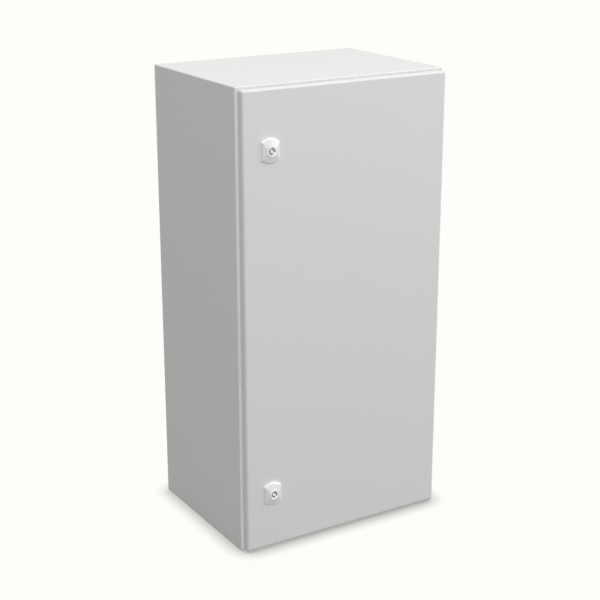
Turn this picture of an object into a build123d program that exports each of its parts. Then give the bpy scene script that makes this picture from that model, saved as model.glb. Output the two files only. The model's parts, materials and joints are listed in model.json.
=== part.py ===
from build123d import *
import math
import os

# Sheet-steel utility cabinet: a folded and welded body with a rain channel round its front, an inset
# tray door on two concealed hinges, and two quarter-turn locks.
# Millimetres, +Z up, the door faces -Y. The origin is the centre of the footprint, on the base plane.

# Overall sizes
WIDTH = 400.0
HEIGHT = 800.0
BODY_DEPTH = 283.5
DOOR_STANDOFF = 16.5  # body's front plane to the door's outer face
LOCK_PROUD = 9.0  # door's outer face to the lock's nose

# Sheet of the body and the door
WALL = 1.5
FOLD_RADIUS = 1.5  # inside radius of a fold
DOOR_FOLD_RADIUS = 2.0
TOUCH = 0.001  # two places closer than this are the same

# Front rim of the body: flange, forward lip and gasket landing
RIM_WIDTH = 26.0
RIM_HEIGHT = 6.5
LANDING_WIDTH = 4.0  # landing's reach past the lip

# Door tray
DOOR_GAP = 4.0  # all round, from the body's outer face
DOOR_REAR_GAP = 2.6  # door's rear edge to the body's front plane
DRIP_NOTCH_SIDE = 57.5  # from the body's left side
DRIP_NOTCH_RADIUS = 2.8

# Foamed gasket inside the door
GASKET_OUTSIDE = 3.5  # past the lip's outer face
GASKET_INSIDE = 3.5  # past the landing's inner edge
GASKET_GAP = 0.3
GASKET_CORNER = 3.0
GASKET_BEVEL = 2.5

# Wall fixing holes in the back
WALL_HOLE_RADIUS = 4.5
WALL_HOLE_EDGE = 25.0  # from the body's outer faces

# Mounting plate
PLATE_SIDE_GAP = 25.0  # from the body's sides
PLATE_END_GAP = 40.0  # from the body's top and bottom
PLATE_THICKNESS = 2.0
PLATE_EDGE = 10.0  # depth of the folded long edges
PLATE_STANDOFF = 12.0
PLATE_STUD_EDGE = 15.0  # stud centre to the plate's edge
PLATE_STUD_COLLAR = 7.0

# Earthing points on the back and on the door
EARTH_SIDE = 60.0  # from the body's side
EARTH_Z = 28.0
DOOR_EARTH_Z = 75.0
EARTH_LENGTH = 21.0
DOOR_EARTH_LENGTH = 13.0

# Gland plate in the base
GLAND_CUT_WIDTH = 260.0
GLAND_CUT_DEPTH = 120.0
GLAND_CUT_CORNER = 6.0
GLAND_BORDER = 18.0  # plate's overlap round the cut-out
GLAND_THICKNESS = 2.0
GLAND_SEAL_THICKNESS = 2.0
GLAND_SEAL_WIDTH = 5.5  # the seal runs inside the line of studs

# Perforated door rails, a Z section
RAIL_SIDE = 96.0  # web's middle from the body's side
RAIL_END = 45.0  # from the body's top and bottom
RAIL_DEPTH = 14.0
RAIL_FOOT = 12.0
RAIL_FACE = 20.0
RAIL_SLOT_PITCH = 25.0
RAIL_SLOT_WIDTH = 6.0
RAIL_SLOT_LENGTH = 14.0

# Concealed hinges
HINGE_END = 130.0  # from the body's top and bottom
HINGE_INSET = 10.0  # pivot from the body's outer side
KNUCKLE_RADIUS = 4.0
KNUCKLE_CLEARANCE = 0.8  # knuckle to the door's inner face
HINGE_PIN_RADIUS = 2.0
PIN_CLEARANCE = 0.05
PIN_HEAD_RADIUS = 2.6
PIN_HEAD_HEIGHT = 1.5
PIN_TAIL_RADIUS = 2.6
PIN_TAIL_HEIGHT = 0.8
BRACKET_HALF = 20.0
BRACKET_ARM_HALF = 11.5
BRACKET_THICKNESS = 2.5
BRACKET_WIDTH = 10.5
ARM_ANGLE = 130.0  # from +X towards +Y, which is also how far the door opens
ARM_THICKNESS = 4.0
LEAF_HALF = 45.0
LEAF_INNER = 12.3
LEAF_KNUCKLE_END = 25.0
LEAF_THICKNESS = 2.0
LEAF_REACH = 10.0  # from the pivot towards the door's middle
LEAF_BRIDGE_WIDTH = 5.0
LEAF_STUD_Z = 36.0
LEAF_STUD_X = 3.5  # from the pivot towards the door's middle
LEAF_STUD_LENGTH = 8.5
NOTCH_MARGIN = 2.0  # round the bracket, in the door's side fold
NOTCH_LIP = 2.5  # what stays of the side fold at the notch
BRACKET_SCREW_Z = 14.5

# Quarter-turn locks
LOCK_SIDE = 52.5  # from the body's left side
LOCK_BOTTOM = 104.0  # lower lock from the body's bottom
LOCK_TOP = 102.0  # upper lock from the body's top
LOCK_RADIUS = 20.5
LOCK_FLATS = 32.0
LOCK_RIM = 5.0
LOCK_SHOULDER = 8.0  # height at which the facets meet the nose
NOSE_RADIUS = 9.2
NOSE_BEVEL = 0.8
BARREL_RADIUS = 11.0
BARREL_FLATS = 20.0
BARREL_HOLE_CLEARANCE = 0.2
CORE_RADIUS = 8.0
CORE_RECESS = 0.3  # core's face below the nose
CORE_SHOULDER = 6.0  # below the door's outer face
CORE_SHAFT_RADIUS = 6.0
CORE_CLEARANCE = 0.05
CORE_SQUARE = 8.0
WELL_RADIUS = 5.9
WELL_DEPTH = 6.0
KEY_POST_RADIUS = 2.4
KEY_BIT_WIDTH = 3.0
KEY_BIT_RADIUS = 4.6
KEY_TURN = 135.0  # bits' line at rest, from +X towards +Z
LOCK_NUT_FLATS = 27.0
LOCK_NUT_THICKNESS = 6.0
CAM_GAP = 0.8  # cam to the flange's rear face
CAM_THICKNESS = 3.0
CAM_LENGTH = 45.0
CAM_WIDTH = 18.0
CAM_HUB_RADIUS = 11.0
CAM_TIP = 12.0  # length of the bent tip
CAM_TIP_ANGLE = 12.0
CAM_BARREL_GAP = 0.5
CAM_HOLE_CLEARANCE = 0.1

# Fasteners: radius, across flats, height of the hexagon, radius and thickness of the flange under it
M5 = {"r": 2.5, "flats": 8.0, "hex": 4.0}
M6 = {"r": 3.0, "flats": 10.0, "hex": 5.0, "flange": 6.0, "flange_t": 1.6}
M8 = {"r": 4.0, "flats": 13.0, "hex": 6.4, "flange": 8.9, "flange_t": 1.6}
HOLE_CLEARANCE = 0.1
SCREW_HEAD_HEIGHT = 3.0
SCREW_HEAD_RADIUS = 4.5
THREAD_TAIL = 2.0  # thread left past a nut

# Planes and centres worked out from the sizes above
FRONT_Y = (DOOR_STANDOFF + LOCK_PROUD - BODY_DEPTH) / 2  # body's front plane
BACK_Y = FRONT_Y + BODY_DEPTH
BACK_INNER_Y = BACK_Y - WALL
MIDDLE_Y = (FRONT_Y + BACK_Y) / 2
DOOR_FACE_Y = FRONT_Y - DOOR_STANDOFF
DOOR_INNER_Y = DOOR_FACE_Y + WALL
DOOR_REAR_Y = FRONT_Y - DOOR_REAR_GAP
LIP_INSET = RIM_WIDTH - WALL
LANDING_INSET = RIM_WIDTH + LANDING_WIDTH
PLATE_WIDTH = WIDTH - 2 * PLATE_SIDE_GAP
PLATE_HEIGHT = HEIGHT - 2 * PLATE_END_GAP
EARTH_X = WIDTH / 2 - EARTH_SIDE
RAIL_X = WIDTH / 2 - RAIL_SIDE
DRIP_NOTCH_X = DRIP_NOTCH_SIDE - WIDTH / 2
LOCK_X = LOCK_SIDE - WIDTH / 2
PIVOT_X = WIDTH / 2 - HINGE_INSET
PIVOT_Y = DOOR_INNER_Y + KNUCKLE_CLEARANCE + KNUCKLE_RADIUS
HINGE_HEIGHTS = {"lower": HINGE_END, "upper": HEIGHT - HINGE_END}
LOCK_HEIGHTS = {"lower": LOCK_BOTTOM, "upper": HEIGHT - LOCK_TOP}
CAM_FRONT = DOOR_STANDOFF + WALL + CAM_GAP  # below the door's outer face
BARREL_LENGTH = CAM_FRONT - CAM_BARREL_GAP
ON_BASE = (Align.CENTER, Align.CENTER, Align.MIN)
FORWARD = (0, -1, 0)
UPWARD = (0, 0, 1)


def facing(x, y, z, normal=FORWARD):
    """Work plane with its local X along the cabinet's X and its local Z along the normal."""
    return Plane(origin=(x, y, z), x_dir=(1, 0, 0), z_dir=normal)


def span(low_x, high_x, low_z, high_z, radius=0.0):
    """Rectangle seen from the front, with rounded corners where a radius is given."""
    width = high_x - low_x
    height = high_z - low_z
    shape = RectangleRounded(width, height, radius) if radius else Rectangle(width, height)
    return Pos((low_x + high_x) / 2, (low_z + high_z) / 2) * shape


def outline(inset, radius=0.0):
    """The body's front outline, drawn in by an inset on all four sides."""
    return span(inset - WIDTH / 2, WIDTH / 2 - inset, inset, HEIGHT - inset, radius)


def slab(sketch, front_y, back_y):
    """Solid between two depths, from a sketch drawn as seen from the front."""
    return extrude(facing(0, back_y, 0) * sketch, back_y - front_y)


def block(low, high):
    """Plain box between two corners."""
    size = [b - a for a, b in zip(low, high)]
    middle = [(a + b) / 2 for a, b in zip(low, high)]
    return Pos(*middle) * Box(*size)


def inset_of(point):
    """How far a point lies inside the body's outline, seen from the front."""
    return min(WIDTH / 2 - abs(point.X), point.Z, HEIGHT - point.Z)


def loop_at(solid, depth_y, inset):
    """Edges of the closed loop that follows the outline at one depth and one inset."""
    ends = [(edge, edge @ 0, edge @ 1) for edge in solid.edges()]
    flat = [(e, a, b) for e, a, b in ends if max(abs(a.Y - depth_y), abs(b.Y - depth_y)) < TOUCH]
    return [e for e, a, b in flat if max(abs(inset_of(a) - inset), abs(inset_of(b) - inset)) < TOUCH]


def stud(thread, length, collar_radius=0.0, collar_height=0.0):
    """Weld stud on its local XY plane, with a spacing collar where the plate needs one."""
    body = Cylinder(thread["r"], length, align=ON_BASE)
    if collar_height:
        body += Cylinder(collar_radius, collar_height, align=ON_BASE)
    return body


def hexagon(flats):
    """Hexagon with two of its corners on the local X axis."""
    return RegularPolygon(flats / 2, 6, major_radius=False)


def nut(thread):
    """Hexagon nut that stands on its local XY plane."""
    hole = Cylinder(thread["r"] + PIN_CLEARANCE, thread["hex"], align=ON_BASE)
    return extrude(hexagon(thread["flats"]), thread["hex"]) - hole


def flange_nut(thread):
    """Hexagon nut with a round flange under it, on its local XY plane."""
    height = thread["flange_t"] + thread["hex"]
    flange = Cylinder(thread["flange"], thread["flange_t"], align=ON_BASE)
    hole = Cylinder(thread["r"] + PIN_CLEARANCE, height, align=ON_BASE)
    return extrude(hexagon(thread["flats"]), height) + flange - hole


def folded(points, thickness, inner_radius):
    """Section of a folded sheet, from the corners of its middle line."""
    line = FilletPolyline(*points, radius=inner_radius + thickness / 2)
    return trace(line, thickness)


def bracket_screw_places():
    """Screw centres of both hinge brackets, as X and Z."""
    x = PIVOT_X - bracket_middle()
    return [(x, z + side * BRACKET_SCREW_Z) for z in HINGE_HEIGHTS.values() for side in (-1, 1)]


def bracket_middle():
    """Distance from the pivot to the middle of the bracket's base, where its arm lands."""
    rise = FRONT_Y - BRACKET_THICKNESS - PIVOT_Y
    return -rise / math.tan(math.radians(ARM_ANGLE))


def gland_stud_places():
    """Stud centres round the gland cut-out, as X and Y."""
    reach_x = (GLAND_CUT_WIDTH + GLAND_BORDER) / 2
    reach_y = (GLAND_CUT_DEPTH + GLAND_BORDER) / 2
    return [(sx * reach_x, MIDDLE_Y + sy * reach_y) for sx in (-1, 1) for sy in (-1, 1)]


def plate_stud_places():
    """Stud centres of the mounting plate, as X and Z."""
    x = PLATE_WIDTH / 2 - PLATE_STUD_EDGE
    z = PLATE_HEIGHT / 2 - PLATE_STUD_EDGE
    return [(sx * x, HEIGHT / 2 + sz * z) for sx in (-1, 1) for sz in (-1, 1)]


def edges_off(solid, depth_y):
    """Edges that don't lie at one depth."""
    ends = [(edge, edge @ 0, edge @ 1) for edge in solid.edges()]
    return [e for e, a, b in ends if max(abs(a.Y - depth_y), abs(b.Y - depth_y)) >= TOUCH]


def body_box():
    """Folded box with its back welded in, still closed at the front."""
    outside = fillet(block((-WIDTH / 2, FRONT_Y, 0), (WIDTH / 2, BACK_Y, HEIGHT)).edges(), FOLD_RADIUS + WALL)
    low = (WALL - WIDTH / 2, FRONT_Y + WALL, WALL)
    high = (WIDTH / 2 - WALL, BACK_INNER_Y, HEIGHT - WALL)
    inside = block(low, high)
    return outside - fillet(edges_off(inside, BACK_INNER_Y), FOLD_RADIUS)


def body_rim(box):
    """Open the front and add the forward lip and the landing that form the rain channel."""
    lip_front = FRONT_Y - RIM_HEIGHT
    lip_outside = outline(LIP_INSET)
    lip_inside = outline(RIM_WIDTH)
    rim = box - slab(lip_inside, FRONT_Y - WALL, FRONT_Y + 2 * WALL)
    rim += slab(lip_outside - lip_inside, lip_front, FRONT_Y + WALL)
    rim += slab(lip_outside - outline(LANDING_INSET), lip_front, lip_front + WALL)
    outer_fold = FOLD_RADIUS + WALL
    rim = fillet(loop_at(rim, lip_front, LIP_INSET), outer_fold)
    rim = fillet(loop_at(rim, FRONT_Y + WALL, RIM_WIDTH), outer_fold)
    rim = fillet(loop_at(rim, lip_front + WALL, RIM_WIDTH), FOLD_RADIUS)
    return fillet(loop_at(rim, FRONT_Y, LIP_INSET), FOLD_RADIUS)


def cabinet_body():
    """The body with its rim, fixing holes, gland cut-out and bracket screw holes."""
    body = body_rim(body_box())
    for x in (WALL_HOLE_EDGE - WIDTH / 2, WIDTH / 2 - WALL_HOLE_EDGE):
        for z in (WALL_HOLE_EDGE, HEIGHT - WALL_HOLE_EDGE):
            body -= slab(Pos(x, z) * Circle(WALL_HOLE_RADIUS), BACK_INNER_Y - WALL, BACK_Y + WALL)
    for x, z in bracket_screw_places():
        hole = Pos(x, z) * Circle(M5["r"] + HOLE_CLEARANCE)
        body -= slab(hole, FRONT_Y - WALL, FRONT_Y + 2 * WALL)
    return body - extrude(facing(0, MIDDLE_Y, -WALL, UPWARD) * gland_plan(0), 3 * WALL)


def door_tray():
    """Door skin: a pressed tray with four folds towards the body."""
    low = (DOOR_GAP - WIDTH / 2, DOOR_FACE_Y, DOOR_GAP)
    high = (WIDTH / 2 - DOOR_GAP, DOOR_REAR_Y, HEIGHT - DOOR_GAP)
    outside = block(low, high)
    outside = fillet(edges_off(outside, DOOR_REAR_Y), DOOR_FOLD_RADIUS + WALL)
    inner_low = (low[0] + WALL, DOOR_INNER_Y, low[2] + WALL)
    inner_high = (high[0] - WALL, DOOR_REAR_Y + WALL, high[2] - WALL)
    inside = block(inner_low, inner_high)
    return outside - fillet(edges_off(inside, inner_high[1]), DOOR_FOLD_RADIUS)


def door_panel():
    """The door skin with its hinge notches, lock holes and small drip notch."""
    door = door_tray()
    side_x = WIDTH / 2 - DOOR_GAP
    half = BRACKET_HALF + NOTCH_MARGIN
    for z in HINGE_HEIGHTS.values():
        low = (side_x - 2 * WALL, DOOR_FACE_Y + NOTCH_LIP, z - half)
        high = (side_x + WALL, DOOR_REAR_Y + WALL, z + half)
        door -= block(low, high)
    for z in LOCK_HEIGHTS.values():
        radius = BARREL_RADIUS + BARREL_HOLE_CLEARANCE
        flats = BARREL_FLATS + 2 * BARREL_HOLE_CLEARANCE
        hole = Circle(radius) & Rectangle(flats, 4 * radius)
        door -= slab(Pos(LOCK_X, z) * hole, DOOR_FACE_Y - WALL, DOOR_INNER_Y + WALL)
    notch = Cylinder(DRIP_NOTCH_RADIUS, 6 * WALL)
    return door - Pos(DRIP_NOTCH_X, DOOR_REAR_Y, HEIGHT - DOOR_GAP) * notch


def door_gasket():
    """Foamed gasket ring on the door's inner face, opposite the landing."""
    outer_inset = LIP_INSET - GASKET_OUTSIDE
    inner_inset = LANDING_INSET + GASKET_INSIDE
    front = FRONT_Y - RIM_HEIGHT - GASKET_GAP
    outer_corner = GASKET_CORNER + inner_inset - outer_inset
    plan = outline(outer_inset, outer_corner) - outline(inner_inset, GASKET_CORNER)
    body = slab(plan, DOOR_INNER_Y, front)
    edges = [edge for edge in body.edges() if abs((edge @ 0).Y - front) + abs((edge @ 1).Y - front) < TOUCH]
    return chamfer(edges, GASKET_BEVEL)


def door_rail(side):
    """Perforated Z-section rail on the door's inner face; side is -1 at the locks and 1 at the hinges."""
    half = WALL / 2
    foot_y = DOOR_INNER_Y + half
    face_y = DOOR_INNER_Y + RAIL_DEPTH - half
    web_x = side * RAIL_X
    points = [
        (web_x + side * RAIL_FOOT, foot_y),
        (web_x, foot_y),
        (web_x, face_y),
        (web_x - side * RAIL_FACE, face_y),
    ]
    section = Pos(0, 0, RAIL_END) * folded(points, WALL, FOLD_RADIUS)
    rail = extrude(section, HEIGHT - 2 * RAIL_END, dir=UPWARD)
    count = int((HEIGHT - 2 * RAIL_END - RAIL_SLOT_LENGTH) / RAIL_SLOT_PITCH)
    first = HEIGHT / 2 - RAIL_SLOT_PITCH * (count - 1) / 2
    slot_x = web_x - side * (RAIL_FACE + WALL) / 2
    for i in range(count):
        z = first + i * RAIL_SLOT_PITCH
        low = (slot_x - RAIL_SLOT_WIDTH / 2, face_y - WALL, z - RAIL_SLOT_LENGTH / 2)
        high = (slot_x + RAIL_SLOT_WIDTH / 2, face_y + WALL, z + RAIL_SLOT_LENGTH / 2)
        rail -= block(low, high)
    return rail


def mounting_plate():
    """Galvanised plate with its two long edges folded back towards the wall."""
    half = PLATE_THICKNESS / 2
    face_y = BACK_INNER_Y - PLATE_STANDOFF - half
    edge_x = PLATE_WIDTH / 2 - half
    edge_y = face_y - half + PLATE_EDGE
    points = [(-edge_x, edge_y), (-edge_x, face_y), (edge_x, face_y), (edge_x, edge_y)]
    section = Pos(0, 0, (HEIGHT - PLATE_HEIGHT) / 2) * folded(points, PLATE_THICKNESS, FOLD_RADIUS)
    plate = extrude(section, PLATE_HEIGHT, dir=UPWARD)
    for x, z in plate_stud_places():
        hole = Pos(x, z) * Circle(M8["r"] + HOLE_CLEARANCE)
        plate -= slab(hole, face_y - PLATE_THICKNESS, face_y + PLATE_THICKNESS)
    return plate


def plate_fasteners():
    """Studs and flange nuts that carry the mounting plate."""
    seat = PLATE_STANDOFF + PLATE_THICKNESS
    length = seat + M8["flange_t"] + M8["hex"] + THREAD_TAIL
    planes = [facing(x, BACK_INNER_Y, z) for x, z in plate_stud_places()]
    studs = [p * stud(M8, length, PLATE_STUD_COLLAR, PLATE_STANDOFF) for p in planes]
    nuts = [p * (Pos(0, 0, seat) * flange_nut(M8)) for p in planes]
    return studs, nuts


def earth_point(plane, length):
    """Earthing stud with its flange nut, on one wall."""
    seat = length - THREAD_TAIL - M8["hex"] - M8["flange_t"]
    return plane * stud(M8, length), plane * (Pos(0, 0, seat) * flange_nut(M8))


def gland_plan(grow):
    """Plan of the base's cut-out, grown on all four sides."""
    return RectangleRounded(GLAND_CUT_WIDTH + 2 * grow, GLAND_CUT_DEPTH + 2 * grow, GLAND_CUT_CORNER)


def gland_parts():
    """Gland plate, its flat seal, and the studs and nuts that clamp it inside the base."""
    floor = facing(0, MIDDLE_Y, WALL, UPWARD)
    seal = extrude(floor * (gland_plan(GLAND_SEAL_WIDTH) - gland_plan(0)), GLAND_SEAL_THICKNESS)
    plate = extrude(floor.offset(GLAND_SEAL_THICKNESS) * gland_plan(GLAND_BORDER), GLAND_THICKNESS)
    clamped = GLAND_SEAL_THICKNESS + GLAND_THICKNESS
    studs = []
    nuts = []
    for x, y in gland_stud_places():
        place = facing(x, y, WALL, UPWARD)
        plate -= place * Cylinder(M5["r"] + HOLE_CLEARANCE, clamped, align=ON_BASE)
        studs.append(place * stud(M5, clamped + M5["hex"] + THREAD_TAIL))
        nuts.append(place * (Pos(0, 0, clamped) * nut(M5)))
    return plate, seal, studs, nuts


def hinge_bracket(z):
    """Fixed half of a hinge: a base on the flange and an arm that reaches forward to the knuckle."""
    x_mid = PIVOT_X - bracket_middle()
    base_y = FRONT_Y - BRACKET_THICKNESS
    half_width = BRACKET_WIDTH / 2
    base = block((x_mid - half_width, base_y, -BRACKET_HALF), (x_mid + half_width, FRONT_Y, BRACKET_HALF))
    pivot = Pos(PIVOT_X, PIVOT_Y)
    reach = bracket_middle() / math.cos(math.radians(180 - ARM_ANGLE)) + BRACKET_THICKNESS / 2
    arm = Pos(reach / 2, 0) * Rectangle(reach, ARM_THICKNESS)
    profile = pivot * (Circle(KNUCKLE_RADIUS) + Rot(0, 0, ARM_ANGLE) * arm)
    bracket = base + extrude(Pos(0, 0, -BRACKET_ARM_HALF) * profile, 2 * BRACKET_ARM_HALF)
    bore = extrude(pivot * Circle(HINGE_PIN_RADIUS + PIN_CLEARANCE), BRACKET_HALF, both=True)
    bracket -= bore
    for side in (-1, 1):
        hole = Cylinder(M5["r"] + HOLE_CLEARANCE, 4 * BRACKET_THICKNESS)
        bracket -= facing(x_mid, FRONT_Y, side * BRACKET_SCREW_Z) * hole
    return Pos(0, 0, z) * bracket


def bracket_screws():
    """Screws that hold both hinge brackets, put in from behind the flange."""
    length = WALL + BRACKET_THICKNESS
    body = Cylinder(M5["r"], length, align=ON_BASE)
    head = Pos(0, 0, -SCREW_HEAD_HEIGHT) * Cylinder(SCREW_HEAD_RADIUS, SCREW_HEAD_HEIGHT, align=ON_BASE)
    screw = body + head
    return [facing(x, FRONT_Y + WALL, z) * screw for x, z in bracket_screw_places()]


def hinge_leaf(z):
    """Moving half of a hinge: a plate on the door with two knuckles, bridged past the fixed knuckle."""
    door_side = WIDTH / 2 - DOOR_GAP - WALL - DOOR_FOLD_RADIUS - HOLE_CLEARANCE
    inner_x = PIVOT_X - LEAF_REACH
    plate_top = DOOR_INNER_Y + LEAF_THICKNESS
    bridge_x = inner_x + LEAF_BRIDGE_WIDTH
    leaf = block((inner_x, DOOR_INNER_Y, -LEAF_INNER), (bridge_x, plate_top, LEAF_INNER))
    lug_x = min(PIVOT_X + KNUCKLE_RADIUS, door_side)
    lug = span(PIVOT_X - KNUCKLE_RADIUS, lug_x, DOOR_INNER_Y, PIVOT_Y)
    knuckle = lug + Pos(PIVOT_X, PIVOT_Y) * Circle(KNUCKLE_RADIUS)
    for side in (-1, 1):
        ends = sorted((side * LEAF_INNER, side * LEAF_HALF))
        leaf += block((inner_x, DOOR_INNER_Y, ends[0]), (door_side, plate_top, ends[1]))
        low = min(side * LEAF_INNER, side * LEAF_KNUCKLE_END)
        leaf += extrude(Pos(0, 0, low) * knuckle, LEAF_KNUCKLE_END - LEAF_INNER)
        hole = Cylinder(M5["r"] + HOLE_CLEARANCE, 4 * LEAF_THICKNESS)
        leaf -= facing(PIVOT_X - LEAF_STUD_X, DOOR_INNER_Y, side * LEAF_STUD_Z) * hole
    bore = Pos(PIVOT_X, PIVOT_Y) * Cylinder(HINGE_PIN_RADIUS + PIN_CLEARANCE, 2 * LEAF_HALF)
    return Pos(0, 0, z) * (leaf - bore)


def leaf_fasteners():
    """Studs on the door's inner face and the nuts that clamp both hinge leaves."""
    studs = []
    nuts = []
    for z in HINGE_HEIGHTS.values():
        for side in (-1, 1):
            back = Plane(
                origin=(PIVOT_X - LEAF_STUD_X, DOOR_INNER_Y, z + side * LEAF_STUD_Z),
                x_dir=(0, 0, 1),
                z_dir=(0, 1, 0),
            )
            studs.append(back * stud(M5, LEAF_STUD_LENGTH))
            nuts.append(back * (Pos(0, 0, LEAF_THICKNESS) * nut(M5)))
    return studs, nuts


def hinge_pin(z):
    """Hinge pin with its head on top and its tail spread below."""
    length = 2 * LEAF_KNUCKLE_END
    pin = Cylinder(HINGE_PIN_RADIUS, length)
    pin += Pos(0, 0, LEAF_KNUCKLE_END) * Cylinder(PIN_HEAD_RADIUS, PIN_HEAD_HEIGHT, align=ON_BASE)
    tail_z = -LEAF_KNUCKLE_END - PIN_TAIL_HEIGHT
    pin += Pos(0, 0, tail_z) * Cylinder(PIN_TAIL_RADIUS, PIN_TAIL_HEIGHT, align=ON_BASE)
    return Pos(PIVOT_X, PIVOT_Y, z) * pin


def lock_housing():
    """Faceted lock housing: a shallow cone cut by two flats, slanting facets, a nose and a barrel."""
    flats = Rectangle(LOCK_FLATS, 4 * LOCK_RADIUS)
    rim = extrude(Circle(LOCK_RADIUS) & flats, LOCK_RIM)
    rise = LOCK_SHOULDER - LOCK_RIM
    cone = Pos(0, 0, LOCK_RIM) * Cone(LOCK_RADIUS, NOSE_RADIUS, rise, align=ON_BASE)
    half = LOCK_FLATS / 2
    facet = Polyline(
        (-half, LOCK_RIM),
        (-NOSE_RADIUS, LOCK_SHOULDER),
        (NOSE_RADIUS, LOCK_SHOULDER),
        (half, LOCK_RIM),
        close=True,
    )
    wedge = extrude(Plane.XZ * make_face(facet), LOCK_RADIUS, both=True)
    nose = Cylinder(NOSE_RADIUS, LOCK_PROUD, align=ON_BASE)
    nose = chamfer(nose.edges().sort_by(Axis.Z)[-1], NOSE_BEVEL)
    barrel_plan = Circle(BARREL_RADIUS) & Rectangle(BARREL_FLATS, 4 * BARREL_RADIUS)
    barrel = extrude(Pos(0, 0, -BARREL_LENGTH) * barrel_plan, BARREL_LENGTH)
    housing = rim + (cone & wedge) + nose + barrel
    bore = Pos(0, 0, -CORE_SHOULDER) * Cylinder(CORE_RADIUS, CORE_SHOULDER + LOCK_PROUD, align=ON_BASE)
    shaft = Pos(0, 0, -BARREL_LENGTH) * Cylinder(CORE_SHAFT_RADIUS, BARREL_LENGTH, align=ON_BASE)
    return housing - bore - shaft


def lock_core():
    """Turning core: a face with a round well and a two-bit key post, a shaft and a square end."""
    top = LOCK_PROUD - CORE_RECESS
    head = Pos(0, 0, -CORE_SHOULDER) * Cylinder(CORE_RADIUS - CORE_CLEARANCE, CORE_SHOULDER + top, align=ON_BASE)
    well = Pos(0, 0, top - WELL_DEPTH) * Cylinder(WELL_RADIUS, WELL_DEPTH, align=ON_BASE)
    bits = Rectangle(2 * KEY_BIT_RADIUS, KEY_BIT_WIDTH) & Circle(KEY_BIT_RADIUS)
    post_plan = Rot(0, 0, KEY_TURN) * (bits + Circle(KEY_POST_RADIUS))
    post = extrude(Pos(0, 0, top - WELL_DEPTH) * post_plan, WELL_DEPTH - CORE_RECESS)
    shaft = Pos(0, 0, -CAM_FRONT) * Cylinder(CORE_SHAFT_RADIUS - CORE_CLEARANCE, CAM_FRONT, align=ON_BASE)
    square = extrude(Pos(0, 0, -CAM_FRONT - CAM_THICKNESS) * Rectangle(CORE_SQUARE, CORE_SQUARE), CAM_THICKNESS)
    core = (head - well) + post + shaft + square
    return core - cam_screw_hole()


def cam_screw_hole():
    """Blind hole for the cam's screw, from the core's rear end."""
    depth = CAM_THICKNESS + CORE_SQUARE
    return Pos(0, 0, -CAM_FRONT - CAM_THICKNESS) * Cylinder(M6["r"] + PIN_CLEARANCE, depth, align=ON_BASE)


def cam_screw():
    """Flanged hexagon screw that clamps the cam to the core."""
    seat = -CAM_FRONT - CAM_THICKNESS
    shank = Pos(0, 0, seat) * Cylinder(M6["r"], CORE_SQUARE, align=ON_BASE)
    flange = Pos(0, 0, seat - M6["flange_t"]) * Cylinder(M6["flange"], M6["flange_t"], align=ON_BASE)
    head = extrude(Pos(0, 0, seat - M6["flange_t"] - M6["hex"]) * hexagon(M6["flats"]), M6["hex"])
    return shank + flange + head


def lock_cam():
    """Cam tongue that hangs down when released, with its tip bent away from the flange."""
    straight = CAM_LENGTH - CAM_TIP
    bend = math.radians(CAM_TIP_ANGLE)
    drop = CAM_TIP * math.tan(bend)
    front = -CAM_FRONT
    back = front - CAM_THICKNESS
    side_view = Polyline(
        (CAM_HUB_RADIUS, front),
        (-straight, front),
        (-CAM_LENGTH, front - drop),
        (-CAM_LENGTH, back - drop),
        (-straight, back),
        (CAM_HUB_RADIUS, back),
        close=True,
    )
    strip = extrude(Plane.YZ * make_face(side_view), CAM_HUB_RADIUS, both=True)
    tongue_length = CAM_LENGTH - CAM_WIDTH / 2
    tongue = Pos(0, -tongue_length / 2) * Rectangle(CAM_WIDTH, tongue_length)
    plan = Circle(CAM_HUB_RADIUS) + tongue + Pos(0, -tongue_length) * Circle(CAM_WIDTH / 2)
    opening = CORE_SQUARE + 2 * CAM_HOLE_CLEARANCE
    plan -= Rectangle(opening, opening)
    depth = CAM_THICKNESS + 2 * drop
    return strip & extrude(Pos(0, 0, front - depth) * plan, 2 * depth)


def lock_nut():
    """Large hexagon nut that clamps the housing to the door from behind."""
    plan = hexagon(LOCK_NUT_FLATS) - Circle(BARREL_RADIUS + PIN_CLEARANCE)
    return extrude(Pos(0, 0, -WALL - LOCK_NUT_THICKNESS) * plan, LOCK_NUT_THICKNESS)


def write(name, *pieces):
    """Write one node, as one solid or as a group of separate alike solids."""
    shape = pieces[0] if len(pieces) == 1 else Compound(children=list(pieces))
    export_step(shape, f"parts/{name}.step")


def write_body():
    """Everything that stays with the body."""
    write("cabinet_body", cabinet_body())
    write("mounting_plate", mounting_plate())
    studs, nuts = plate_fasteners()
    write("plate_studs", *studs)
    write("plate_nuts", *nuts)
    earth, earth_nut = earth_point(facing(EARTH_X, BACK_INNER_Y, EARTH_Z), EARTH_LENGTH)
    write("body_earth_stud", earth)
    write("body_earth_nut", earth_nut)
    plate, seal, gland_studs, gland_nuts = gland_parts()
    write("gland_plate", plate)
    write("gland_seal", seal)
    write("gland_studs", *gland_studs)
    write("gland_nuts", *gland_nuts)
    for name, z in HINGE_HEIGHTS.items():
        write(f"{name}_hinge_bracket", hinge_bracket(z))
    write("bracket_screws", *bracket_screws())


def write_door():
    """Everything that swings with the door."""
    write("door_panel", door_panel())
    write("door_gasket", door_gasket())
    write("lock_side_rail", door_rail(-1))
    write("hinge_side_rail", door_rail(1))
    for name, z in HINGE_HEIGHTS.items():
        write(f"{name}_hinge_leaf", hinge_leaf(z))
        write(f"{name}_hinge_pin", hinge_pin(z))
    studs, nuts = leaf_fasteners()
    write("leaf_studs", *studs)
    write("leaf_nuts", *nuts)
    inward = Plane(origin=(EARTH_X, DOOR_INNER_Y, DOOR_EARTH_Z), x_dir=(0, 0, 1), z_dir=(0, 1, 0))
    earth, earth_nut = earth_point(inward, DOOR_EARTH_LENGTH)
    write("door_earth_stud", earth)
    write("door_earth_nut", earth_nut)


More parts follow.
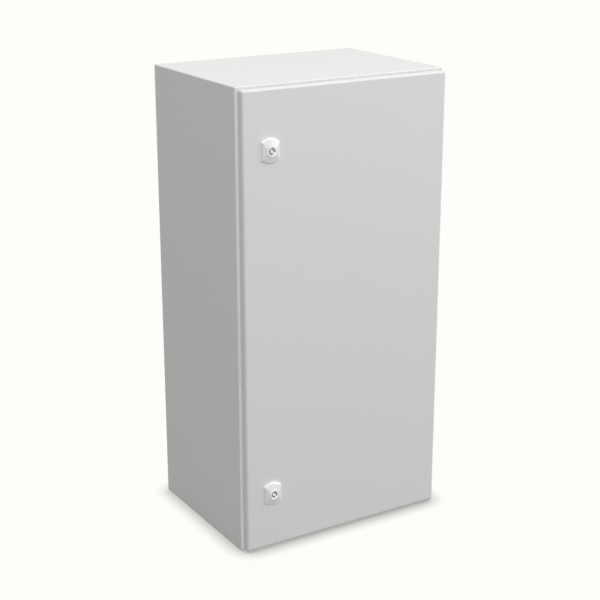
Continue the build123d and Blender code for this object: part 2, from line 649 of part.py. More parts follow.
def write_locks():
    """Both locks, each with its fixed pieces and its turning pieces."""
    for name, z in LOCK_HEIGHTS.items():
        place = facing(LOCK_X, DOOR_FACE_Y, z)
        write(f"{name}_lock_housing", place * lock_housing())
        write(f"{name}_lock_nut", place * lock_nut())
        write(f"{name}_lock_core", place * lock_core())
        write(f"{name}_lock_cam", place * lock_cam())
        write(f"{name}_cam_screw", place * cam_screw())


os.makedirs("parts", exist_ok=True)
write_body()
write_door()
write_locks()
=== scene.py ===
"""Sheet-steel utility cabinet, finished piece by piece round its fixed frame.

All lengths are metres, +Z is up and the door faces -Y. The body and the door are folded sheet with
a light grey powder coat, the locks are die castings with a bright turning insert, and what the open
door shows, such as the rim, the gasket, the hinges and the plate, is finished as carefully as the
outside.
"""

import json
import logging
import math
from dataclasses import dataclass, field
from enum import Enum
from typing import Callable, Sequence

import bmesh
import bpy
from mathutils import Matrix, Vector


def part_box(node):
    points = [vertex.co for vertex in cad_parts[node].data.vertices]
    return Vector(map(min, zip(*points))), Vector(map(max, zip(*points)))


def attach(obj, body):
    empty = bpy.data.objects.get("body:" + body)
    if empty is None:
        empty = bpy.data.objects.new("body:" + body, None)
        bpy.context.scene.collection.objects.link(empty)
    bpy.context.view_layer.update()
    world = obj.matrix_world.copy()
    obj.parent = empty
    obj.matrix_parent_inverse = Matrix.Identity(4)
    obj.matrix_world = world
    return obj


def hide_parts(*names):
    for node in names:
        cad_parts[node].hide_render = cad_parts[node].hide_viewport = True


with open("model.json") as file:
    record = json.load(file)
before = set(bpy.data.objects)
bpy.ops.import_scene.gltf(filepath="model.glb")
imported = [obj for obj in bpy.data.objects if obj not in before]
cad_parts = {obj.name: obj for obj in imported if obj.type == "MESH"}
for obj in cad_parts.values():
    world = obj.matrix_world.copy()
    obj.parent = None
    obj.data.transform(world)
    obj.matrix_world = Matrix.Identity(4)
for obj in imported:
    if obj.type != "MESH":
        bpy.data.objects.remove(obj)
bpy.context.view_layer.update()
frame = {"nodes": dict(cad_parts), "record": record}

MM = 0.001
TOUCH = 0.02 * MM  # two places closer than this are the same
SEAM = 0.002 * MM  # corners closer than this are merged
THROUGH = 5 * MM  # how far a drill or a punch reaches to each side of a sheet
FACING = 0.9  # least part of a normal along the axis that its face looks along
HINGE_HEIGHTS = (130.0 * MM, 670.0 * MM)
DOOR_WALL = 1.5 * MM
# faces inside a key well that get painted shade
WELL_SHADE_MASK = "well"

Piece = bpy.types.Object
Node = bpy.types.Node
Socket = bpy.types.NodeSocket
Tree = bpy.types.NodeTree
FaceTest = Callable[[Vector, Vector], bool]
EdgeTest = Callable[[Vector, Vector], bool]
Point = tuple[float, float, float]

logging.basicConfig(level=logging.INFO, format="%(message)s")
log = logging.getLogger("cabinet")


# Tools of the bench


def select_only(piece: Piece) -> None:
    """Select one piece, make it active and deselect everything else."""
    bpy.ops.object.select_all(action="DESELECT")
    piece.select_set(True)
    bpy.context.view_layer.objects.active = piece


def settle(piece: Piece) -> Piece:
    """Put a piece's place, turn and scale into its mesh.

    Args:
        piece: The piece, as a primitive or a matrix left it.

    Returns:
        The same piece, with its object at the origin.
    """
    select_only(piece)
    bpy.ops.object.transform_apply(location=True, rotation=True, scale=True)
    return piece


def named(name: str) -> Piece:
    """Name the active object and its mesh, and settle it."""
    piece = bpy.context.view_layer.objects.active
    piece.name = name
    piece.data.name = name
    return settle(piece)


def box_piece(name: str, low: Sequence[float], high: Sequence[float]) -> Piece:
    """Start a piece from a box between two corners.

    Args:
        name: The piece's name.
        low: Its lowest corner.
        high: Its highest corner.

    Returns:
        The new piece.
    """
    bpy.ops.object.select_all(action="DESELECT")
    middle = [(a + b) / 2 for a, b in zip(low, high)]
    size = [b - a for a, b in zip(low, high)]
    bpy.ops.mesh.primitive_cube_add(size=1.0, location=middle, scale=size)
    return named(name)


def rod_piece(name: str, radius: float, low: float, high: float, sides: int) -> Piece:
    """Start a piece from a cylinder on the Z axis.

    Args:
        name: The piece's name.
        radius: Its radius.
        low: The height of its lower end.
        high: The height of its upper end.
        sides: How many sides it has.

    Returns:
        The new piece, with one of its corners on the X axis.
    """
    bpy.ops.object.select_all(action="DESELECT")
    bpy.ops.mesh.primitive_cylinder_add(
        vertices=sides,
        radius=radius,
        depth=high - low,
        location=(0, 0, (low + high) / 2),
        rotation=(0, 0, math.pi / 2),
    )
    return named(name)


def turned_piece(name: str, profile: Sequence[tuple[float, float]], sides: int) -> Piece:
    """Turn a closed piece on the Z axis from its half profile.

    Args:
        name: The piece's name.
        profile: Radius and height of each point, starting and ending on the axis.
        sides: How many sides a full turn has.

    Returns:
        The new piece.
    """
    bpy.ops.object.select_all(action="DESELECT")
    bpy.ops.mesh.primitive_plane_add(size=MM, location=(0, 0, 0))
    piece = named(name)
    with Bench(piece) as bench:
        bench.keep_one_corner(Vector((profile[0][0], 0, profile[0][1])))
        for (r0, z0), (r1, z1) in zip(profile, profile[1:]):
            bench.extrude((r1 - r0, 0, z1 - z0))
        bpy.ops.mesh.select_all(action="SELECT")
        bpy.ops.mesh.spin(steps=sides, angle=2 * math.pi, center=(0, 0, 0), axis=(0, 0, 1))
        bench.close_seams()
    return piece


class Bench:
    """Edit mode on one piece, with faces and edges picked by place or normal."""

    def __init__(self, piece: Piece) -> None:
        """Remember the piece that is worked on."""
        self.piece = piece

    def __enter__(self) -> "Bench":
        """Take the piece onto the bench with nothing on it selected."""
        select_only(self.piece)
        bpy.ops.object.mode_set(mode="EDIT")
        bpy.ops.mesh.select_mode(type="FACE")
        bpy.ops.mesh.select_all(action="DESELECT")
        return self

    def __exit__(self, *_: object) -> None:
        """Take the piece off the bench."""
        bpy.ops.object.mode_set(mode="OBJECT")

    def faces(self, test: FaceTest) -> None:
        """Select only the faces that pass a test.

        Args:
            test: Takes a face's centre and its normal.
        """
        mesh = self._cleared("FACE")
        mesh.normal_update()
        self._pick([face for face in mesh.faces if test(face.calc_center_median(), face.normal)])

    def edges(self, test: EdgeTest) -> None:
        """Select only the edges that pass a test.

        Args:
            test: Takes an edge's two ends.
        """
        mesh = self._cleared("EDGE")
        self._pick([edge for edge in mesh.edges if test(edge.verts[0].co, edge.verts[1].co)])

    def _cleared(self, kind: str) -> bmesh.types.BMesh:
        """Deselect everything, and give the mesh, ready for faces or edges to be picked."""
        bpy.ops.mesh.select_mode(type=kind)
        bpy.ops.mesh.select_all(action="DESELECT")
        return bmesh.from_edit_mesh(self.piece.data)

    def _pick(self, picked: list) -> None:
        """Select what passed a test, and refuse an empty selection."""
        if not picked:
            raise ValueError(f"{self.piece.name}: nothing was picked")
        for part in picked:
            part.select_set(True)
        bmesh.update_edit_mesh(self.piece.data)

    def keep_one_corner(self, place: Vector) -> None:
        """Throw away all corners but one, and move that one to a place."""
        mesh = bmesh.from_edit_mesh(self.piece.data)
        mesh.verts.ensure_lookup_table()
        for corner in mesh.verts[1:]:
            mesh.verts.remove(corner)
        mesh.verts.ensure_lookup_table()
        mesh.verts[0].co = place
        bpy.ops.mesh.select_mode(type="VERT")
        mesh.verts[0].select_set(True)
        bmesh.update_edit_mesh(self.piece.data)

    def inset(self, width: float) -> None:
        """Inset the picked faces, which leaves the inner ones picked."""
        bpy.ops.mesh.inset(thickness=width, depth=0.0, use_even_offset=True)

    def extrude(self, move: Point) -> None:
        """Extrude the picked faces or corner along a move."""
        bpy.ops.mesh.extrude_region_move(TRANSFORM_OT_translate={"value": move})

    def round_off(self, radius: float, segments: int) -> None:
        """Round the picked edges with a radius."""
        bpy.ops.mesh.bevel(
            offset=radius, offset_type="OFFSET", segments=segments, profile=0.5, affect="EDGES"
        )

    def slice_off(self, place: Point, normal: Point) -> None:
        """Cut the whole piece by a plane, drop what lies beyond it and close the cut."""
        straight = Vector(normal).normalized()
        bpy.ops.mesh.select_all(action="SELECT")
        bpy.ops.mesh.bisect(
            plane_co=place, plane_no=straight, use_fill=True, clear_outer=True, clear_inner=False
        )

    def flatten(self, half: float) -> None:
        """Slice a flat off each side, half their distance from the axis."""
        for side in (1, -1):
            self.slice_off((side * half, 0, 0), (side, 0, 0))

    def close_seams(self) -> None:
        """Merge what lies on the same place and turn all faces outwards."""
        bpy.ops.mesh.select_all(action="SELECT")
        bpy.ops.mesh.remove_doubles(threshold=SEAM)
        bpy.ops.mesh.normals_make_consistent(inside=False)


def apply_modifier(piece: Piece, kind: str, **settings: object) -> None:
    """Put one modifier on a piece and apply it.

    Args:
        piece: The piece.
        kind: The modifier's type.
        **settings: The modifier's settings.
    """
    select_only(piece)
    modifier = piece.modifiers.new(kind.lower(), kind)
    for name, value in settings.items():
        setattr(modifier, name, value)
    bpy.ops.object.modifier_apply(modifier=modifier.name)


def combine(piece: Piece, operation: str, tool: Piece) -> None:
    """Combine a piece with a tool, and throw the tool away.

    Args:
        piece: The piece.
        operation: DIFFERENCE, INTERSECT or UNION.
        tool: The tool.
    """
    apply_modifier(piece, "BOOLEAN", operation=operation, solver="EXACT", object=tool)
    bpy.data.objects.remove(tool)


def cut(piece: Piece, tool: Piece) -> None:
    """Cut a tool out of a piece."""
    combine(piece, "DIFFERENCE", tool)


def trim_to(piece: Piece, tool: Piece) -> None:
    """Keep only what a piece shares with a tool."""
    combine(piece, "INTERSECT", tool)


def unite(piece: Piece, tool: Piece) -> None:
    """Add a tool to a piece."""
    combine(piece, "UNION", tool)


def joined(name: str, parts: Sequence[Piece]) -> Piece:
    """Join parts into one piece.

    Args:
        name: The piece's name.
        parts: What it is made of.

    Returns:
        The joined piece.
    """
    bpy.ops.object.select_all(action="DESELECT")
    for part in parts:
        part.select_set(True)
    bpy.context.view_layer.objects.active = parts[0]
    bpy.ops.object.join()
    return named(name)


def soften(piece: Piece, radius: float, segments: int = 2, angle: float = 28.0) -> None:
    """Take the sharpness off a piece's edges.

    Args:
        piece: The piece.
        radius: How far the edges are rounded.
        segments: Faces across each rounding.
        angle: Edges flatter than this many degrees stay as they are.
    """
    apply_modifier(
        piece,
        "BEVEL",
        width=radius,
        segments=segments,
        limit_method="ANGLE",
        angle_limit=math.radians(angle),
        use_clamp_overlap=True,
        miter_outer="MITER_ARC",
    )


def shade(piece: Piece, angle: float = 35.0) -> None:
    """Shade rounded places smooth while flat faces stay flat.

    Args:
        piece: The piece.
        angle: Edges sharper than this many degrees stay sharp.
    """
    select_only(piece)
    bpy.ops.object.shade_smooth_by_angle(angle=math.radians(angle))
    apply_modifier(piece, "WEIGHTED_NORMAL", keep_sharp=True, weight=60)


def placed_copy(model: Piece, name: str, place: Matrix) -> Piece:
    """Copy a model, with a mesh of its own, to a place.

    Args:
        model: The piece to copy, built on its own axes.
        name: The copy's name.
        place: Where its axes go.

    Returns:
        The copy.
    """
    copy = model.copy()
    copy.data = model.data.copy()
    copy.name = name
    copy.data.name = name
    bpy.context.scene.collection.objects.link(copy)
    copy.matrix_world = place
    return settle(copy)


def mark_faces(piece: Piece, mask: str, test: Callable[[Vector], bool]) -> None:
    """Mark some faces of a finished piece, so that its finish can tell them apart.

    Args:
        piece: The piece.
        mask: The mark's name, an attribute that is 1 on the marked faces.
        test: Takes a face's centre.
    """
    marks = piece.data.attributes.new(mask, "FLOAT", "FACE")
    for face in piece.data.polygons:
        marks.data[face.index].value = float(test(face.center))


def towards_front(x: float, y: float, z: float) -> Matrix:
    """Axes at a place whose Z points out of the door and whose Y points up."""
    return Matrix.Translation((x, y, z)) @ Matrix.Rotation(math.pi / 2, 4, "X")


def towards_back(x: float, y: float, z: float) -> Matrix:
    """Axes at a place whose Z points to the back and whose X points up."""
    turn = Matrix(((0, 1, 0), (0, 0, 1), (1, 0, 0))).to_4x4()
    return Matrix.Translation((x, y, z)) @ turn


# Finishes


def opaque(colour: Point) -> tuple[float, float, float, float]:
    """Give a colour its full alpha."""
    return (*colour, 1.0)


class Wiring:
    """Adds nodes to one tree and joins their sockets."""

    def __init__(self, tree: Tree) -> None:
        """Start on a tree."""
        self.tree = tree

    def node(self, kind: str, values: dict[str, object] | None = None, **settings: object) -> Node:
        """Add a node.

        Args:
            kind: The node's type.
            values: Values of its input sockets, by name.
            **settings: Its own settings.

        Returns:
            The new node.
        """
        node = self.tree.nodes.new(kind)
        for name, value in settings.items():
            setattr(node, name, value)
        for name, value in (values or {}).items():
            node.inputs[name].default_value = value
        return node

    def join(self, source: Socket, target: Socket) -> None:
        """Join an output to an input."""
        self.tree.links.new(source, target)

    def sum(self, kind: str, first: object, second: object) -> Socket:
        """Work out one sum from two sockets or numbers.

        Args:
            kind: The operation, such as MULTIPLY.
            first: A socket or a number.
            second: A socket or a number.

        Returns:
            The result's socket.
        """
        node = self.node("ShaderNodeMath", operation=kind)
        for socket, term in zip(node.inputs, (first, second)):
            if isinstance(term, (int, float)):
                socket.default_value = term
            else:
                self.join(term, socket)
        return node.outputs[0]


class Effect(Enum):
    """Surface effects that several finishes share, each a shader node group."""

    ORANGE_PEEL = "orange_peel"
    TONE_DRIFT = "tone_drift"
    SPANGLE = "zinc_spangle"
    DRAWN_LINES = "drawn_lines"
    CAST_SKIN = "cast_skin"
    FOAM_SKIN = "foam_skin"


class EffectShelf:
    """Builds each effect's group once and hands it out."""

    def __init__(self) -> None:
        """Start with an empty shelf."""
        self.groups: dict[Effect, Tree] = {}

    def group(self, effect: Effect) -> Tree:
        """Give an effect's group.

        Args:
            effect: Which effect.

        Returns:
            Its node group, built on first use.
        """
        if effect not in self.groups:
            builders = {
                Effect.ORANGE_PEEL: self._orange_peel,
                Effect.TONE_DRIFT: self._tone_drift,
                Effect.SPANGLE: self._spangle,
                Effect.DRAWN_LINES: self._drawn_lines,
                Effect.CAST_SKIN: self._cast_skin,
                Effect.FOAM_SKIN: self._foam_skin,
            }
            tree = bpy.data.node_groups.new(effect.value, "ShaderNodeTree")
            tree.interface.new_socket("Vector", in_out="INPUT", socket_type="NodeSocketVector")
            builders[effect](tree)
            self.groups[effect] = tree
        return self.groups[effect]

    def _ends(
        self, tree: Tree, inputs: dict[str, float | str], outputs: dict[str, str]
    ) -> tuple[Wiring, Node, Node]:
        """Make a group's sockets and its two end nodes.

        Args:
            tree: The group.
            inputs: Each input's name with its default, or Color for a colour.
            outputs: Each output's name with its kind, Float or Color.

        Returns:
            The wiring, the input node and the output node.
        """
        for name, default in inputs.items():
            kind = "NodeSocketColor" if default == "Color" else "NodeSocketFloat"
            socket = tree.interface.new_socket(name, in_out="INPUT", socket_type=kind)
            if default != "Color":
                socket.default_value = default
        for name, kind in outputs.items():
            tree.interface.new_socket(name, in_out="OUTPUT", socket_type=f"NodeSocket{kind}")
        wiring = Wiring(tree)
        return wiring, wiring.node("NodeGroupInput"), wiring.node("NodeGroupOutput")

    def _noise(self, wiring: Wiring, vector: Socket, scale: object, detail: float) -> Socket:
        """Add a noise that goes from 0 to 1.

        Args:
            wiring: The wiring of the tree.
            vector: Where it is read.
            scale: Its scale, as a socket or a number.
            detail: How much fine detail it has.

        Returns:
            The noise's value.
        """
        node = wiring.node("ShaderNodeTexNoise", {"Detail": detail, "Roughness": 0.5})
        wiring.join(vector, node.inputs["Vector"])
        if isinstance(scale, (int, float)):
            node.inputs["Scale"].default_value = scale
        else:
            wiring.join(scale, node.inputs["Scale"])
        return node.outputs["Fac"]

    def _around(self, wiring: Wiring, value: Socket, change: Socket, middle: object) -> Socket:
        """Let a number vary about its middle.

        Args:
            wiring: The wiring of the tree.
            value: What it follows, from 0 to 1.
            change: How far it goes.
            middle: Its middle, as a socket or a number.

        Returns:
            The varied number.
        """
        spread = wiring.sum("MULTIPLY", wiring.sum("SUBTRACT", value, 0.5), change)
        return wiring.sum("ADD", spread, middle)

    def _vary(self, wiring: Wiring, ends: tuple[Node, Node], tone: Socket, gloss: Socket) -> None:
        """Vary a group's colour by its Amount and its roughness by its Gloss Change.

        Args:
            wiring: The wiring of the group.
            ends: Its input node and its output node.
            tone: What the colour follows, from 0 to 1.
            gloss: What the roughness follows, from 0 to 1.
        """
        start, end = ends
        tinted = wiring.node("ShaderNodeVectorMath", operation="SCALE")
        wiring.join(start.outputs["Color"], tinted.inputs[0])
        factor = self._around(wiring, tone, start.outputs["Amount"], 1.0)
        wiring.join(factor, tinted.inputs["Scale"])
        wiring.join(tinted.outputs[0], end.inputs["Color"])
        self._vary_gloss(wiring, ends, gloss)

    def _vary_gloss(self, wiring: Wiring, ends: tuple[Node, Node], gloss: Socket) -> None:
        """Vary a group's roughness alone.

        Args:
            wiring: The wiring of the group.
            ends: Its input node and its output node.
            gloss: What the roughness follows, from 0 to 1.
        """
        start, end = ends
        varied = self._around(wiring, gloss, start.outputs["Gloss Change"], start.outputs["Gloss"])
        wiring.join(varied, end.inputs["Roughness"])

    def _orange_peel(self, tree: Tree) -> None:
        """The fine waviness of a powder coat, as a height."""
        wiring, start, end = self._ends(tree, {"Scale": 520.0, "Fine": 0.3}, {"Height": "Float"})
        vector = start.outputs["Vector"]
        waves = self._noise(wiring, vector, start.outputs["Scale"], 1.0)
        finer = wiring.sum("MULTIPLY", start.outputs["Scale"], 3.3)
        grain = self._noise(wiring, vector, finer, 0.0)
        grain = wiring.sum("MULTIPLY", grain, start.outputs["Fine"])
        wiring.join(wiring.sum("ADD", waves, grain), end.inputs["Height"])

    def _tone_drift(self, tree: Tree) -> None:
        """A slow, faint change of tone and gloss over a surface."""
        inputs = {"Color": "Color", "Scale": 6.0, "Amount": 0.02, "Gloss": 0.4}
        inputs["Gloss Change"] = 0.04
        wiring, start, end = self._ends(tree, inputs, {"Color": "Color", "Roughness": "Float"})
        vector = start.outputs["Vector"]
        drift = self._noise(wiring, vector, start.outputs["Scale"], 2.0)
        finer = wiring.sum("MULTIPLY", start.outputs["Scale"], 9.0)
        self._vary(wiring, (start, end), drift, self._noise(wiring, vector, finer, 2.0))

    def _spangle(self, tree: Tree) -> None:
        """The crystal pattern of hot-dip zinc."""
        inputs = {"Color": "Color", "Scale": 90.0, "Amount": 0.12, "Gloss": 0.4}
        inputs["Gloss Change"] = 0.16
        outputs = {"Color": "Color", "Roughness": "Float", "Height": "Float"}
        wiring, start, end = self._ends(tree, inputs, outputs)
        vector = start.outputs["Vector"]
        crystals = wiring.node("ShaderNodeTexVoronoi", {"Randomness": 1.0}, feature="F1")
        wiring.join(vector, crystals.inputs["Vector"])
        wiring.join(start.outputs["Scale"], crystals.inputs["Scale"])
        parts = wiring.node("ShaderNodeSeparateColor")
        wiring.join(crystals.outputs["Color"], parts.inputs[0])
        self._vary(wiring, (start, end), parts.outputs[0], parts.outputs[1])
        fine = wiring.sum("MULTIPLY", start.outputs["Scale"], 7.0)
        grain = self._noise(wiring, vector, fine, 2.0)
        wiring.join(wiring.sum("ADD", parts.outputs[2], grain), end.inputs["Height"])

    def _drawn_lines(self, tree: Tree) -> None:
        """Fine lines along one direction, as rolling or turning leaves them."""
        inputs = {"Gloss": 0.3, "Gloss Change": 0.1}
        wiring, start, end = self._ends(tree, inputs, {"Roughness": "Float", "Height": "Float"})
        lines = self._noise(wiring, start.outputs["Vector"], 1.0, 3.0)
        self._vary_gloss(wiring, (start, end), lines)
        wiring.join(lines, end.inputs["Height"])

    def _cast_skin(self, tree: Tree) -> None:
        """The slightly mottled skin of a die casting."""
        inputs = {"Scale": 900.0, "Gloss": 0.35, "Gloss Change": 0.1}
        wiring, start, end = self._ends(tree, inputs, {"Roughness": "Float", "Height": "Float"})
        vector = start.outputs["Vector"]
        skin = self._noise(wiring, vector, start.outputs["Scale"], 3.0)
        flow = self._noise(wiring, vector, wiring.sum("MULTIPLY", start.outputs["Scale"], 0.2), 2.0)
        self._vary_gloss(wiring, (start, end), flow)
        wiring.join(wiring.sum("ADD", skin, flow), end.inputs["Height"])

    def _foam_skin(self, tree: Tree) -> None:
        """The closed skin of foamed plastic, with faint dimples over its pores."""
        wiring, start, end = self._ends(tree, {"Scale": 700.0}, {"Height": "Float"})
        vector = start.outputs["Vector"]
        cells = {"Randomness": 1.0, "Smoothness": 0.7}
        pores = wiring.node("ShaderNodeTexVoronoi", cells, feature="SMOOTH_F1")
        wiring.join(vector, pores.inputs["Vector"])
        wiring.join(start.outputs["Scale"], pores.inputs["Scale"])
        coarse = wiring.sum("MULTIPLY", start.outputs["Scale"], 0.12)
        swell = self._noise(wiring, vector, coarse, 2.0)
        total = wiring.sum("ADD", pores.outputs["Distance"], wiring.sum("MULTIPLY", swell, 1.6))
        wiring.join(total, end.inputs["Height"])


EFFECTS = EffectShelf()


@dataclass(frozen=True)
class Skin:
    """The fine relief of a surface, from one effect."""

    effect: Effect
    depth: float
    values: dict[str, float] = field(default_factory=dict)
    feeds: tuple[str, ...] = ()
    stretch: Point | None = None


@dataclass(frozen=True)
class Finish:
    """One material slot: its colour, its gloss, its relief and how its tone drifts."""

    name: str
    colour: Point
    gloss: float
    skin: Skin
    metallic: float = 0.0
    drift: dict[str, float] = field(default_factory=dict)
    coat: float = 0.0
    coat_gloss: float = 0.12
    # colour of the painted shade inside a key well, where the finish has one
    well_shade: Point | None = None

    def mix(self) -> bpy.types.Material:
        """Mix the material.

        Returns:
            The material, named as its slot.
        """
        material = bpy.data.materials.new(self.name)
        material.use_nodes = True
        material.diffuse_color = opaque(self.colour)
        material.node_tree.nodes.clear()
        wiring = Wiring(material.node_tree)
        plain = {"Metallic": self.metallic, "Roughness": self.gloss}
        plain["Base Color"] = opaque(self.colour)
        shader = wiring.node("ShaderNodeBsdfPrincipled", plain)
        wiring.join(shader.outputs[0], wiring.node("ShaderNodeOutputMaterial").inputs["Surface"])
        place = wiring.node("ShaderNodeTexCoord").outputs["Object"]
        if self.drift:
            drift = self._effect(wiring, Effect.TONE_DRIFT, self.drift, place)
            self._feed(wiring, drift, shader, "Color", "Roughness")
        if self.skin.stretch:
            mapping = wiring.node("ShaderNodeMapping", {"Scale": self.skin.stretch})
            wiring.join(place, mapping.inputs["Vector"])
            place = mapping.outputs[0]
        skin = self._effect(wiring, self.skin.effect, self.skin.values, place)
        self._feed(wiring, skin, shader, *self.skin.feeds)
        bump = wiring.node("ShaderNodeBump", {"Distance": self.skin.depth})
        wiring.join(skin.outputs["Height"], bump.inputs["Height"])
        wiring.join(bump.outputs[0], shader.inputs["Normal"])
        if self.coat:
            shader.inputs["Coat Weight"].default_value = self.coat
            shader.inputs["Coat Roughness"].default_value = self.coat_gloss
        if self.well_shade:
            self._paint_well_shade(wiring, shader)
        return material

    def _effect(
        self, wiring: Wiring, kind: Effect, values: dict[str, float], place: Socket
    ) -> Node:
        """Add an effect's group, with this finish's colour and gloss where it takes them.

        Args:
            wiring: The wiring of the material.
            kind: Which effect.
            values: Values of its other inputs.
            place: Where it is read.

        Returns:
            The group's node.
        """
        node = wiring.node("ShaderNodeGroup", node_tree=EFFECTS.group(kind))
        for name, value in {"Color": opaque(self.colour), "Gloss": self.gloss, **values}.items():
            if name in node.inputs:
                node.inputs[name].default_value = value
        wiring.join(place, node.inputs["Vector"])
        return node

    def _feed(self, wiring: Wiring, node: Node, shader: Node, *names: str) -> None:
        """Feed a group's outputs into the shader's sockets of the same meaning."""
        for name in names:
            target = "Base Color" if name == "Color" else name
            wiring.join(node.outputs[name], shader.inputs[target])

    def _paint_well_shade(self, wiring: Wiring, shader: Node) -> None:
        """Paint shade, as a darker colour, on the faces that are marked as a key well's inside."""
        well = wiring.node("ShaderNodeAttribute", attribute_name=WELL_SHADE_MASK)
        colours = {"Color1": opaque(self.colour), "Color2": opaque(self.well_shade)}
        tone = wiring.node("ShaderNodeMixRGB", colours)
        wiring.join(well.outputs["Fac"], tone.inputs["Fac"])
        wiring.join(tone.outputs[0], shader.inputs["Base Color"])


def rubber(name: str, colour: Point, gloss: float, scale: float, depth: float) -> Finish:
    """Foamed or moulded rubber with a closed skin.

    Args:
        name: Its slot.
        colour: Its colour.
        gloss: Its roughness.
        scale: How fine its pores are.
        depth: How deep they are.

    Returns:
        The finish.
    """
    skin = Skin(Effect.FOAM_SKIN, depth, {"Scale": scale})
    return Finish(name, colour, gloss, skin, drift={"Scale": 90.0, "Amount": 0.3})


FINISHES = (
    Finish(  # powder coat with a fine orange peel
        name="cabinet_paint",
        colour=(0.60, 0.60, 0.60),
        gloss=0.42,
        skin=Skin(Effect.ORANGE_PEEL, 14e-6, {"Scale": 520.0}),
        drift={"Scale": 6.0, "Amount": 0.012},
    ),
    Finish(  # smoother and glossier coat on a die casting
        name="lock_grey",
        colour=(0.67, 0.67, 0.67),
        gloss=0.30,
        skin=Skin(Effect.ORANGE_PEEL, 4e-6, {"Scale": 900.0, "Fine": 0.1}),
        drift={"Scale": 60.0, "Amount": 0.01},
        coat=0.25,
    ),
    Finish(  # bright plated die casting, with painted shade down in the key well
        name="lock_insert",
        colour=(0.78, 0.78, 0.79),
        gloss=0.16,
        skin=Skin(Effect.CAST_SKIN, 2e-6, {"Scale": 1500.0, "Gloss Change": 0.08}, ("Roughness",)),
        metallic=1.0,
        # the darker well colour is painted shade
        well_shade=(0.52, 0.52, 0.525),
    ),
    Finish(  # hot-dip galvanised sheet with a small spangle
        name="galvanised_sheet",
        colour=(0.56, 0.57, 0.585),
        gloss=0.40,
        skin=Skin(Effect.SPANGLE, 3e-6, feeds=("Color", "Roughness")),
        metallic=1.0,
    ),
    Finish(  # bright zinc plate on nuts, studs, screws and cams
        name="zinc_hardware",
        colour=(0.62, 0.63, 0.655),
        gloss=0.28,
        skin=Skin(Effect.CAST_SKIN, 2e-6, {"Scale": 1300.0}),
        metallic=1.0,
        drift={"Scale": 70.0, "Amount": 0.10},
    ),
    Finish(  # satin zinc die casting
        name="hinge_casting",
        colour=(0.55, 0.55, 0.56),
        gloss=0.42,
        skin=Skin(Effect.CAST_SKIN, 8e-6, {"Scale": 800.0, "Gloss Change": 0.14}, ("Roughness",)),
        metallic=1.0,
    ),
    Finish(  # ground steel, with lines round the pin
        name="pin_steel",
        colour=(0.60, 0.60, 0.61),
        gloss=0.22,
        skin=Skin(Effect.DRAWN_LINES, 1.5e-6, feeds=("Roughness",), stretch=(60, 60, 6000)),
        metallic=1.0,
    ),
    rubber("gasket_foam", (0.032, 0.032, 0.035), 0.62, 700.0, 90e-6),
    rubber("flat_seal", (0.022, 0.022, 0.024), 0.70, 1600.0, 20e-6),
)


class FinishRack:
    """Holds one material for each material slot of the record, and dresses pieces."""

    weld: float = 0.001 * MM  # corners of a solid closer than this are merged
    sharp: float = 35.0  # edges of a solid flatter than this many degrees stay as they are

    def __init__(self) -> None:
        """Mix every finish once."""
        self.materials = {finish.name: finish.mix() for finish in FINISHES}
        self.slot_of = {part["node"]: part["material_slot"] for part in frame["record"]["subparts"]}

    def dress(self, piece: Piece, slot: str) -> None:
        """Give a piece the material of a slot."""
        piece.data.materials.clear()
        piece.data.materials.append(self.materials[slot])

    def finish_piece(self, piece: Piece, body: str, node: str) -> None:
        """Dress a new piece as the solid that it stands for, and let it ride on that solid's body.

        Args:
            piece: The new piece.
            body: The body that it moves with.
            node: The node whose solid it replaces.
        """
        slot = self.slot_of[node]
        self.dress(piece, slot)
        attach(piece, body)
        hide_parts(node)
        log.info("%s stands for %s: %d faces", piece.name, node, len(piece.data.polygons))

    def finish_solid(self, node: str, radius: float) -> None:
        """Dress a solid that keeps its own shape, with its edges softened.

        Args:
            node: The solid's name.
            radius: How far its edges are rounded, 0 to leave them.
        """
        solid = frame["nodes"][node]
        self.dress(solid, self.slot_of[node])
        weld = solid.modifiers.new("weld", "WELD")
        weld.merge_threshold = self.weld
        if radius:
            edge = solid.modifiers.new("edge", "BEVEL")
            edge.width = radius
            edge.segments = 2
            edge.limit_method = "ANGLE"
            edge.angle_limit = math.radians(self.sharp)
            edge.use_clamp_overlap = True
        for face in solid.data.polygons:
            face.use_smooth = True
        normals = solid.modifiers.new("normals", "WEIGHTED_NORMAL")
        normals.keep_sharp = False
        log.info("%s keeps its shape: %s", node, self.slot_of[node])


# Pieces


